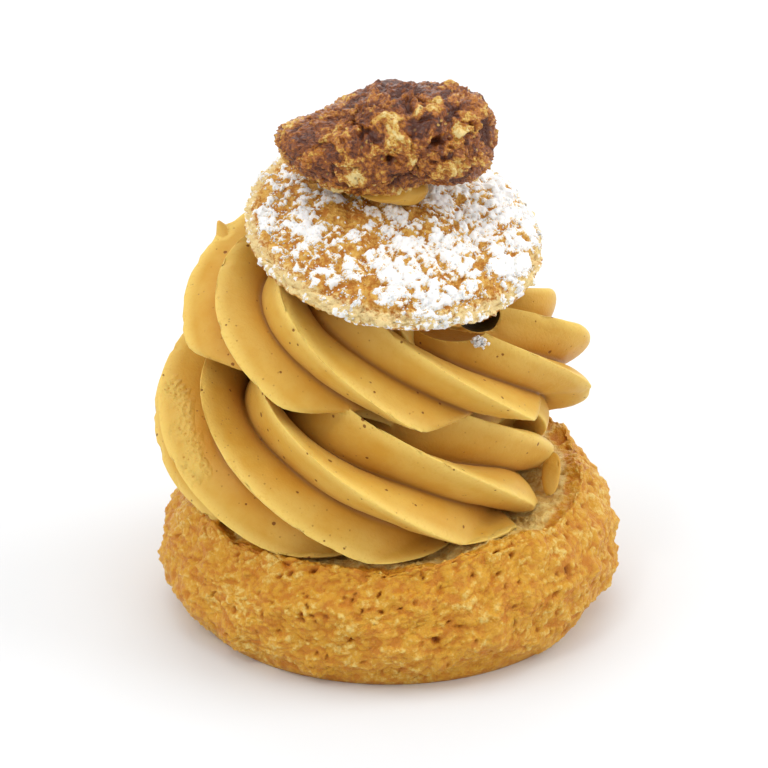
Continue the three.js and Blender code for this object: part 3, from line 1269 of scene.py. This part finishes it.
@dataclass
class SugarGrains:
    """Loose grains of icing sugar round and between the clumps on the cap."""

    cap: CrustCap
    count: int = 12000
    smallest: float = 0.08
    largest: float = 0.22
    sunk_share: float = 0.3
    cap_share: float = 2.3 / 6
    heap: Triple = (12.3, -13.4, 45.3)
    heap_spread: float = 0.36
    heap_stretch: Triple = (1.5, 1.0, 1.0)
    heap_count: int = 70
    heap_scale: float = 1.7
    corners: tuple[Triple, ...] = (
        (1, 0, 0), (-1, 0, 0), (0, 1, 0), (0, -1, 0), (0, 0, 1), (0, 0, -1),
    )
    sides: tuple[tuple[int, int, int], ...] = (
        (0, 2, 4), (2, 1, 4), (1, 3, 4), (3, 0, 4), (2, 0, 5), (1, 2, 5), (3, 1, 5), (0, 3, 5),
    )
    seed: int = 5
    finish: SugarFinish = field(default_factory=SugarFinish)

    def build(self) -> bpy.types.Object:
        """Uneven eight-sided grains, most where the clumps lie or end, and a small heap on the cream.

        Returns:
            The dressed grains.
        """
        random = np.random.default_rng(self.seed)
        share = 1 - np.sqrt(random.uniform(0.0, 1.0, self.count)) * (1 - self.cap_share)
        points, outward, edge, _ = self.cap.crust(share, random.uniform(0, TURN, self.count))
        chance = ease(self.cap.sugar_cover(points) - 0.9 * edge, -0.6, 0.2)
        kept = random.uniform(0, 1, self.count) < chance
        spread = random.normal(0, self.heap_spread, (self.heap_count, 3))
        heap = np.array(self.heap) + spread * np.array(self.heap_stretch)
        loose = kept.sum()
        size = random.uniform(self.smallest, self.largest, loose + self.heap_count)
        points = self.cap.in_place(points[kept] + outward[kept] * (size[:loose, None] * self.sunk_share))
        size[loose:] *= self.heap_scale
        points = np.concatenate([points, heap])
        corners = np.array(self.corners, float)
        shape = corners * random.uniform(0.6, 1.2, (len(points), len(corners), 1))
        places = points[:, None] + shape * size[:, None, None]
        triangles = np.array(self.sides)[None] + len(corners) * np.arange(len(points))[:, None, None]
        piece = new_piece("sugar_grains", places.reshape(-1, 3), triangles.reshape(-1, 3))
        set_field(piece, "depth", np.ones(len(piece.data.vertices)))
        dress_piece(piece, self.finish.make(), Slot.CAP)
        return piece


@dataclass
class CreamSwirl:
    """The piped cream: a twisted star rope in two turns round an upright middle.

    Places along the rope are counted in turns from the right, through the front, left and back.
    """

    base: ChouxBase
    cap: CrustCap
    start: float = -0.06
    end: float = 1.9
    rows: int = 428
    teeth: int = 7
    tooth_steps: int = 24
    crowding: float = 1.5
    tooth_depth: float = 0.43
    tuck_depth: float = 0.16
    crest_roundness: float = 0.035
    soft_roundness: float = 0.5
    soft_rise: Pair = (0.82, 0.94)
    soft_fall: Pair = (1.0, 1.08)
    soft_start: Pair = (0.05, 0.13)
    ridge_share: float = 0.9
    ridge_power: float = 0.87
    groove_power: float = 4.0
    joints: Pair = (0.62, 1.55)
    joint_share: float = 0.97
    joint_rows: int = 2
    twist: float = 1.36
    twist_start: float = math.radians(-52)
    upper_turn: Pair = (0.5, 1.0)
    lower_centre: Pair = (-4.4, 0.7)
    upper_centre: Pair = (4.8, -0.7)
    foot_height: float = 21.7
    pitch: float = 14.4
    level_from: float = 1.78
    ring_radii: tuple[float, ...] = (15.2, 16.5, 16.6, 13.8, 11.6, 14.9, 21.2, 15.5, 9.0)
    half_width: float = 12.8
    lower_half_height: float = 13.0
    upper_half_height: float = 12.1
    start_share: float = 0.8
    start_until: float = 0.02
    tail_from: float = 1.65
    tail_share: float = 0.72
    under_share: float = 0.5
    under_rise: Pair = (1.0, 1.12)
    under_fall: Pair = (1.47, 1.6)
    set_back: float = 5.6
    set_back_drop: float = 0.53
    set_back_rise: Pair = (0.92, 1.12)
    set_back_fall: Pair = (1.26, 1.44)
    seat_gap: float = 0.2
    seat_from: Pair = (0.07, 0.13)
    seat_lead: float = 0.025
    squash: float = 0.85
    spread: float = 0.7
    axis_clearance: float = 0.6
    core_foot_radius: float = 15.0
    core_top_radius: float = 11.0
    core_top: float = 55.0
    core_rows: int = 24
    core_twist: float = 0.3
    peak: Blob = Blob((-21.6, 8.7, 47.8), (3.4, 5.0, 2.4), (-2.6, 1.5, 3.1))
    peak_reach: float = 5.0
    flap: Blob = Blob((22.7, -4.4, 20.3), (1.2, 2.6, 1.2), (1.2, 0.6, 0.0), -0.8)
    # Painted shade level given to the peak and the flap.
    added_groove_shade: float = 0.33
    # The ledge and gap cuts carry painted shade levels: 0.9 darkens the ledge under the cap, and 2.0 paints
    # the gap near black as a shadow.
    ledge: Blob = Blob((8.6, -10.5, 46.9), (5.2, 4.5, 2.0))
    ledge_groove_shade: float = 0.9
    gap: Blob = Blob((12.3, -7.0, 47.15), (3.3, 5.0, 3.2), slant=0.53)
    gap_groove_shade: float = 2.0
    soft_from: Pair = (0.0, 8.0)
    soft_parts: int = 4
    soft_rounds: int = 14
    swell: Pair = (8.0, 0.22)
    ripple: Pair = (2.6, 0.08)
    grit: Pair = (1.4, 0.03)
    nick: Pair = (1.3, 0.3)
    torn_top: Triple = (-30.3, -4.2, 34.0)
    torn_foot: Triple = (-26.8, -15.7, 26.8)
    torn_reach: float = 1.9
    seed: int = 51
    finish: CreamFinish = field(default_factory=CreamFinish)

    def across(self) -> Array:
        """Places across the teeth from -1 to 1, crowded towards the crests at 0."""
        even = 2 * (np.arange(self.teeth * self.tooth_steps) % self.tooth_steps) / self.tooth_steps - 1
        return np.sign(even) * np.abs(even) ** self.crowding

    def star_angle(self) -> Array:
        """Angle of each place round the star, with the first tooth's crest at 0."""
        tooth = np.arange(self.teeth * self.tooth_steps) // self.tooth_steps
        return TURN / self.teeth * (tooth + self.across() / 2)

    def tooth_fall(self, soft: float) -> Array:
        """Fall from the crest round the star: 0 on a ridged crest, 1 in a narrow groove.

        With t from -1 to 1 across a tooth, r the crest's roundness and s the ridge's share, the fall is
        s ((sqrt(t^2 + r^2) - r) / (sqrt(1 + r^2) - r))^q + (1 - s) |t|^p.

        Args:
            soft: The crest's roundness.

        Returns:
            The fall at each place round the star.
        """
        across = self.across()
        ridge = (np.sqrt(across**2 + soft**2) - soft) / (math.sqrt(1 + soft**2) - soft)
        return blend(np.abs(across) ** self.groove_power, ridge**self.ridge_power, self.ridge_share)

    def section_share(self, turns: Array, angle: Array) -> Array:
        """Size of the rope's section against its full size.

        It is less at the start and along the tail, and under the front of the upper turn.

        Args:
            turns: Places along the rope.
            angle: Angle about the rope, 0 outwards and a quarter turn upwards.

        Returns:
            The share at each place.
        """
        share = blend(self.start_share, 1, ease(turns, self.start, self.start_until))
        share = share * blend(1, self.tail_share, ease(turns, self.tail_from, self.end))
        under = window(turns, self.under_rise, self.under_fall) * ease(-np.sin(angle), 0.03, 0.36)
        return share * blend(1, self.under_share, under)

    def rope_point(self, turns: Array, angle: Array, reach: Array) -> Array:
        """Points of the rope: its section's half width and height carried round a rising, moving ring.

        What would sink into the bun is squashed up to its seat and spreads outwards. The upper turn is
        set back and lowered at the front.

        Args:
            turns: Places along the rope.
            angle: Angle about the rope, 0 outwards and a quarter turn upwards.
            reach: Share of the section's full radius.

        Returns:
            Points in millimetres.
        """
        upper = ease(turns, *self.upper_turn)
        radii = np.array(self.ring_radii)
        knots = np.stack([np.arange(len(radii)) / 4, radii], axis=1)
        ring = spline(knots, turns / knots[-1, 0])[0][..., 1]
        share = self.section_share(turns, angle) * reach
        wide = self.half_width * share
        wide = np.where(np.cos(angle) > 0, wide, np.minimum(wide, ring - self.axis_clearance))
        radius = ring + wide * np.cos(angle)
        heading = -TURN * turns
        high = blend(self.lower_half_height, self.upper_half_height, upper) * share
        height = self.foot_height + self.pitch * np.minimum(turns, self.level_from) + high * np.sin(angle)
        x = blend(self.lower_centre[0], self.upper_centre[0], upper) + radius * np.cos(heading)
        y = blend(self.lower_centre[1], self.upper_centre[1], upper) + radius * np.sin(heading)
        rim = self.base.rim_height
        seat = rim - self.seat_gap + self.base.lift(np.arctan2(y, x), rim)
        lead = self.seat_lead * ease(-np.sin(angle), 0.45, 0.7)
        sunk = np.maximum(seat - height, 0) * ease(turns + lead, *self.seat_from)
        back = self.set_back * window(turns, self.set_back_rise, self.set_back_fall)
        x = x + self.spread * sunk * np.cos(heading)
        y = y + self.spread * sunk * np.sin(heading) + back
        height = height + self.squash * sunk - back * self.set_back_drop
        return np.stack(np.broadcast_arrays(x, y, height), axis=-1)

    def rope(self) -> list[Solid]:
        """The star carried along the rope's path, twisting as it goes, in stretches that meet end to end.

        Each stretch runs a few narrower rows into the next one, so that the two join.

        Returns:
            Points and triangles of each stretch.
        """
        turns = np.linspace(self.start, self.end, self.rows)[:, None]
        soft = window(turns, self.soft_rise, self.soft_fall) + 1 - ease(turns, *self.soft_start)
        sharp_fall, soft_fall = self.tooth_fall(self.crest_roundness), self.tooth_fall(self.soft_roundness)
        fall = blend(sharp_fall[None], soft_fall[None], soft)
        angle = self.twist_start + TURN * self.twist * turns + self.star_angle()[None]
        tucked = ease(np.sin(angle), 0.1, 0.7) * (1 - ease(turns, *self.upper_turn))
        rings = self.rope_point(turns, angle, 1 - (self.tooth_depth + self.tuck_depth * tucked) * fall)
        middles = self.rope_point(turns[:, 0], np.zeros(self.rows), np.zeros(self.rows))
        breaks = [0, *np.searchsorted(turns[:, 0], self.joints), self.rows - 1]
        stretches = []
        for first, last in zip(breaks[:-1], breaks[1:]):
            start, stop = max(first - self.joint_rows, 0), min(last + self.joint_rows, self.rows - 1)
            row = np.arange(start, stop + 1)
            inside = np.where((row < first) | (row > last), self.joint_share, 1)[:, None, None]
            middle = middles[row, None]
            skin = middle + (rings[row] - middle) * inside
            stretches.append(closed_grid(skin, middles[start], middles[stop]))
        return stretches

    def core(self) -> Solid:
        """The swirl's upright middle: a star that turns as it rises to the cap.

        Returns:
            Points and triangles.
        """
        rise = np.linspace(0, 1, self.core_rows)[:, None]
        angle = self.star_angle()[None] - TURN * self.core_twist * rise
        reach = 1 - self.tooth_depth * self.tooth_fall(self.crest_roundness)[None]
        radius = blend(self.core_foot_radius, self.core_top_radius, rise) * reach
        height = blend(self.base.hollow_height - 2, self.core_top, rise)
        middle = np.array([self.cap.centre[0], self.cap.centre[1], 0.0])
        rings = about_axis(radius, height, angle) + middle
        ends = middle + np.array([[0, 0, height[0, 0]], [0, 0, height[-1, 0]]])
        return closed_grid(rings[:, ::-1], ends[0], ends[1])

    def fall_field(self, points: Array) -> Array:
        """The crest-to-groove fall at each point of a closed grid with this star's columns."""
        rows = (len(points) - 2) // (self.teeth * self.tooth_steps)
        return np.concatenate([[1], np.tile(self.tooth_fall(self.crest_roundness), rows), [1]])

    def fuse(self) -> bpy.types.Mesh:
        """Joins the stretches and the middle into one closed skin and cuts it clear of bun and cap.

        Returns:
            The skin, whose points keep their painted groove-shade level (the tooth's fall, or the set level
            of their form) and the number of the form that they came from.
        """
        # Each join carries the painted shade level of its points: the tooth's fall along rope and middle, 1
        # on the cuts against bun and cap, and set levels for the other forms.
        joins = [(part, Join.ADD, self.fall_field(part[0])) for part in (*self.rope(), self.core())]
        joins += [(form.solid(), Join.ADD, self.added_groove_shade) for form in (self.peak, self.flap)]
        joins += [(form.smooth_solid(), Join.CUT, 1.0) for form in (self.base, self.cap)]
        joins += [(self.ledge.solid(), Join.CUT, self.ledge_groove_shade)]
        joins += [(self.gap.solid(), Join.CUT, self.gap_groove_shade)]
        made = []
        for number, (part, join, groove_shade) in enumerate(joins):
            piece = new_piece(f"cream_part_{number}", *part)
            made.append(piece)
            set_field(piece, "groove_shade", np.broadcast_to(groove_shade, len(part[0])))
            set_field(piece, "part", np.full(len(part[0]), number))
            if number > 0:
                step = made[0].modifiers.new(f"join_{number}", "BOOLEAN")
                step.operation = join.value
                step.solver = "MANIFOLD"
                step.object = piece
        graph = bpy.context.evaluated_depsgraph_get()
        mesh = bpy.data.meshes.new_from_object(made[0].evaluated_get(graph))
        for piece in made:
            bpy.data.objects.remove(piece)
        return mesh

    def soften(self, points: Array, part: Array, web: Web) -> Array:
        """Smooths the seams between the turns at the back, and the foot of the peak into its strand.

        Args:
            points: Points of the fused cream.
            part: Number of the form that each point came from.
            web: The fused mesh's edges.

        Returns:
            The moved points.
        """
        numbers = np.stack([part[web.start], part[web.end]])
        meets = (np.ptp(numbers, axis=0) > 0.5) & (numbers.max(axis=0) < self.soft_parts)
        seam = np.zeros(web.count)
        seam[web.start[meets]] = 1
        seam[web.end[meets]] = 1
        seam = np.clip(web.relax(seam, 4) * 2, 0, 1) * ease(points[:, 1], *self.soft_from)
        share = np.maximum(seam, spot(points, self.peak.centre, self.peak_reach))
        return blend(points, web.relax(points, self.soft_rounds), share[:, None])

    def torn(self, points: Array) -> tuple[Array, Array]:
        """The torn, airy band: shreds within an uneven reach of a line down the left side.

        Args:
            points: Places on the cream.

        Returns:
            Relief along the normals and how far each place is in the band.
        """
        top = np.array(self.torn_top)
        line = np.array(self.torn_foot) - top
        share = np.clip((points - top) @ line / (line @ line), 0, 1)
        distance = np.linalg.norm(points - top - share[:, None] * line, axis=1)
        distance = distance + swells(points, (1.8, 0.7), self.seed + 7)
        here = 1 - ease(distance, self.torn_reach * 0.6, self.torn_reach)
        return (swells(points, (1.5, 0.3), self.seed + 9) - 0.2) * here, here

    def build(self) -> bpy.types.Object:
        """Fuses the cream and adds its unevenness along the normals.

        Returns:
            The dressed cream.
        """
        mesh = self.fuse()
        web = Web(mesh)
        points = web.relax(mesh_points(mesh), 1, 0.2)
        set_points(mesh, self.soften(points, field_values(mesh, "part"), web))
        points, normals = mesh_points(mesh), mesh_normals(mesh)
        crest = 1 - ease(field_values(mesh, "groove_shade"), 0.02, 0.2)
        shreds, torn = self.torn(points)
        relief = swells(points, self.swell, self.seed) + swells(points, self.ripple, self.seed + 2) + shreds
        relief += rough(points, self.grit, self.seed + 1)
        relief -= self.nick[1] * crest * ease(lumps(points, self.nick[0], self.seed + 5), 0.3, 0.8)
        set_points(mesh, points + normals * relief[:, None])
        mesh.shade_smooth()
        piece = add_object("cream_swirl_piped", mesh)
        set_field(piece, "torn", torn)
        dress_piece(piece, self.finish.make(), Slot.CREAM, Node.SWIRL)
        return piece


@dataclass
class CandiedNut:
    """The nut in its lumpy caramel coat, pointed at the left and blunt at the right."""

    half_size: Triple = (15.4, 9.4, 6.8)
    centre: Triple = (-0.4, 0.0, 70.4)
    bluntness: float = 3.6
    point: float = 1.45
    droop: float = 1.1
    left_top_share: float = 0.8
    rows: int = 240
    columns: int = 400
    lump: Pair = (6.0, 0.8)
    chip: Pair = (4.6, 0.45)
    crevice_depth: float = 0.7
    small_chip: Pair = (1.7, 0.55)
    small_chip_step: float = 0.6
    crystal: Pair = (0.8, 0.6)
    speck: Pair = (0.45, 0.3)
    grit: Pair = (0.7, 0.15)
    pale_spots: tuple[Spot, ...] = (
        ((-0.2, -6.9, 75.1), 1.9), ((0.4, -8.4, 73.4), 1.7), ((2.6, -8.9, 71.0), 1.8),
        ((9.3, -7.3, 73.1), 1.4), ((-5.4, -8.2, 68.6), 1.5), ((-9.5, -6.9, 71.0), 0.9),
        ((5.5, -4.2, 76.8), 2.2), ((9.4, -7.6, 68.8), 1.4),
    )
    paleness: float = 0.48
    dark_spot: Spot = ((-6.3, -7.1, 72.6), 2.0)
    darkness: float = 0.4
    hole_spots: tuple[Spot, ...] = (
        ((-0.6, -9.1, 70.3), 0.8), ((7.2, -8.0, 73.0), 0.9), ((13.6, -2.7, 72.6), 1.7),
    )
    hole_depth: float = 1.6
    seed: int = 37
    finish: CaramelFinish = field(default_factory=CaramelFinish)

    def smooth_nut(self) -> tuple[Array, Array]:
        """The nut without its coat: sections along X whose radius is the root of 1 - |x|^p.

        The left half has a sharper power, droops by a sine and is flatter on top.

        Returns:
            Points about the nut's middle and unit directions outwards.
        """
        along, angle = -np.cos(ring_shares(self.rows)), round_angles(self.columns)
        power = np.where(along < 0, self.point, self.bluntness)
        section = np.sqrt(1 - np.abs(along) ** power)
        flat = np.where(np.sin(angle) > 0, blend(1, self.left_top_share, ease(-along, 0.1, 0.75)), 1)
        shape = np.broadcast_arrays(along, section * np.cos(angle), section * np.sin(angle) * flat)
        half = np.array(self.half_size)
        smooth = np.stack(shape, axis=-1) * half
        smooth[..., 2] += np.where(along < 0, self.droop * np.sin(math.pi * along), 0)
        outward = smooth / half
        return smooth, outward / np.linalg.norm(outward, axis=-1, keepdims=True)

    def coat(self, smooth: Array, outward: Array) -> tuple[Array, Array]:
        """The coat's fine relief: chips with crevices between them, smaller chips, crystals and holes.

        Args:
            smooth: Points of the smooth nut about its middle.
            outward: Unit directions outwards.

        Returns:
            Height along the directions and a tone, from dark caramel to pale nut.
        """
        along = smooth[..., 0] / self.half_size[0]
        moved = wander(wander(smooth, 3.2, 1.2, self.seed + 1), 1.1, 0.5, self.seed + 2)
        large, second, chip = crumbs(moved, self.chip[0], self.seed + 4)
        small, small_second, grain = crumbs(moved, self.small_chip[0], self.seed + 5)
        crystal, _, crystal_tone = crumbs(moved, self.crystal[0], self.seed + 8)
        speck, _, _ = crumbs(moved, self.speck[0], self.seed + 12)
        crevice = 1 - ease(second - large, 0.01, 0.12)
        crevice = crevice * ease(lumps(smooth, 4.0, self.seed + 9), -0.1, 0.5)
        fine = self.chip[1] * (chip - 0.5) * ease(second - large, 0.0, 0.12) - self.crevice_depth * crevice
        fine += self.small_chip[1] * (0.5 - small)
        fine += self.small_chip_step * (grain - 0.5) * ease(small_second - small, 0.0, 0.2)
        fine += self.crystal[1] * (0.5 - crystal) + self.speck[1] * (0.5 - speck)
        fine += rough(smooth, self.grit, self.seed + 6)
        tone = 0.4 * chip + 0.4 * grain + 0.2 * crystal_tone
        tone -= 0.22 * ease(outward[..., 2], 0.3, 0.9) + 0.12 * ease(-along, 0.4, 0.75)
        middle = np.array(self.centre)
        for place, reach in self.pale_spots:
            tone += self.paleness * spot((moved + smooth) / 2 + middle, place, reach)
        tone -= self.darkness * spot(smooth + middle, *self.dark_spot)
        for place, reach in self.hole_spots:
            fine -= self.hole_depth * spot(moved + middle, place, reach)
        return fine, tone

    def build(self) -> bpy.types.Object:
        """Raises the smooth nut by broad lumps and by its coat.

        Returns:
            The dressed nut.
        """
        smooth, outward = self.smooth_nut()
        fine, tone = self.coat(smooth, outward)
        relief = swells(smooth, self.lump, self.seed) + fine
        rings = smooth + outward * relief[..., None] + np.array(self.centre)
        grid = closed_grid(rings, rings[0].mean(axis=0), rings[-1].mean(axis=0))
        piece = new_piece("candied_nut_coat", *grid)
        set_ring_fields(piece, height=fine * 1.3, tone=tone)
        dress_piece(piece, self.finish.make(), Slot.NUT, Node.NUT)
        return piece


@dataclass
class CreamDab:
    """The dab of cream that holds the nut on the cap."""

    radius: float = 5.2
    half_height: float = 2.5
    thin_share: float = 0.45
    centre: Triple = (0.2, -0.4, 63.0)
    edge_lump: Pair = (0.8, 0.16)
    edge_ripple: Pair = (0.3, 0.05)
    # Half the cream's painted groove shade, spread evenly over the dab.
    groove_shade: float = 0.5
    rows: int = 60
    columns: int = 120
    seed: int = 71
    finish: CreamFinish = field(default_factory=CreamFinish)

    def build(self) -> bpy.types.Object:
        """A flattened ball with an uneven edge, thinner at the left.

        Returns:
            The dressed dab.
        """
        ball = unit_ball(self.rows, self.columns)
        uneven = 1 + swells(ball, self.edge_lump, self.seed) + swells(ball, self.edge_ripple, self.seed + 1)
        thick = self.half_height * blend(self.thin_share, 1, ease(ball[..., 0], -0.9, 0.8))
        wide = np.full_like(thick, self.radius)
        centre = np.array(self.centre)
        rings = ball * uneven[..., None] * np.stack([wide, wide, thick], axis=-1) + centre
        up = np.array([0, 0, self.half_height])
        piece = new_piece("cream_dab_piped", *closed_grid(rings, centre - up, centre + up))
        count = len(piece.data.vertices)
        set_field(piece, "groove_shade", np.full(count, self.groove_shade))
        set_field(piece, "torn", np.zeros(count))
        dress_piece(piece, self.finish.make(), Slot.CREAM, Node.DAB)
        return piece


@dataclass(frozen=True)
class Lamp:
    """A square soft lamp aimed at the bun's middle; its place and side are in metres."""

    name: str
    place: Triple
    side: float
    watts: float
    aim: Triple = (0.0, 0.0, 0.04)

    def build(self) -> None:
        """Hangs the lamp and turns its face to the bun."""
        data = bpy.data.lights.new(self.name, "AREA")
        data.size = self.side
        data.energy = self.watts
        lamp = add_object(self.name, data)
        lamp.location = self.place
        lamp.rotation_euler = (Vector(self.aim) - Vector(self.place)).to_track_quat("-Z", "Y").to_euler()


@dataclass
class Studio:
    """Pale floor, soft light and the camera at the picture's viewing angle."""

    elevation: float = math.radians(28)
    distance: float = 0.6
    scale: float = 0.145 * MILLIMETRE
    foot_pixel: Pair = (390.0, 588.0)
    sensor: float = 36.0
    clip: Pair = (0.01, 50.0)
    floor_half: float = 3.0
    surroundings: float = 0.74
    lamps: tuple[Lamp, ...] = (
        Lamp("lamp_key", (-0.45, -0.6, 1.15), 0.22, 1.65),
        Lamp("lamp_left", (-1.3, -0.3, 0.85), 1.2, 6.0),
        Lamp("lamp_right", (1.4, 0.0, 0.85), 1.2, 11.5),
        Lamp("lamp_back", (0.0, 1.6, 0.9), 1.4, 9.0),
        Lamp("lamp_above", (0.0, 0.0, 1.4), 1.2, 5.0),
    )
    finish: FloorFinish = field(default_factory=FloorFinish)

    def camera(self) -> None:
        """Places the camera and turns it so that the middle of the foot falls on its pixel.

        The foot lies straight down a ray at the elevation; the camera is then turned by the angles
        whose tangents are the pixel's offsets from the picture's middle over the focal length.
        """
        focal = self.distance / self.scale
        data = bpy.data.cameras.new("picture_camera")
        data.sensor_width = self.sensor
        data.lens = self.sensor * focal / PICTURE_SIDE
        data.clip_start, data.clip_end = self.clip
        camera = add_object("picture_camera", data)
        lean = math.atan((self.foot_pixel[1] - PICTURE_SIDE / 2) / focal)
        swing = math.atan((self.foot_pixel[0] - PICTURE_SIDE / 2) / focal)
        along, up = self.distance * math.cos(self.elevation), self.distance * math.sin(self.elevation)
        camera.location = (0, -along, up)
        camera.rotation_euler = (math.pi / 2 - self.elevation + lean, 0, swing)
        bpy.context.scene.camera = camera

    def floor(self) -> None:
        """A wide square floor under the bun."""
        half = self.floor_half
        corners = [(-half, -half, 0), (half, -half, 0), (half, half, 0), (-half, half, 0)]
        mesh = bpy.data.meshes.new("studio_floor")
        mesh.from_pydata(corners, [], [(0, 1, 2, 3)])
        floor = add_object("studio_floor", mesh)
        floor.data.materials.append(self.finish.make())

    def light(self) -> None:
        """Even white surroundings, a small key lamp, and broad panels at both sides, behind and above."""
        world = bpy.data.worlds.new("studio_world")
        world.use_nodes = True
        sky = world.node_tree.nodes["Background"]
        sky.inputs["Color"].default_value = (1.0, 1.0, 1.0, 1.0)
        sky.inputs["Strength"].default_value = self.surroundings
        bpy.context.scene.world = world
        for lamp in self.lamps:
            lamp.build()
        bpy.context.scene.view_settings.view_transform = "Standard"

    def build(self) -> None:
        """Sets up the camera, the floor and the light."""
        self.camera()
        self.floor()
        self.light()


def main() -> None:
    """Builds every piece of the bun in order and logs how many there are."""
    logging.basicConfig(level=logging.INFO, format="%(name)s %(message)s")
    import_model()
    Studio().build()
    base = ChouxBase()
    cap = CrustCap()
    pieces = [base.build(), CreamSwirl(base, cap).build(), cap.build(), cap.dust()]
    pieces += [SugarGrains(cap).build(), CreamDab().build(), CandiedNut().build()]
    log.info("%d pieces", len(pieces))


if __name__ == "__main__":
    main()
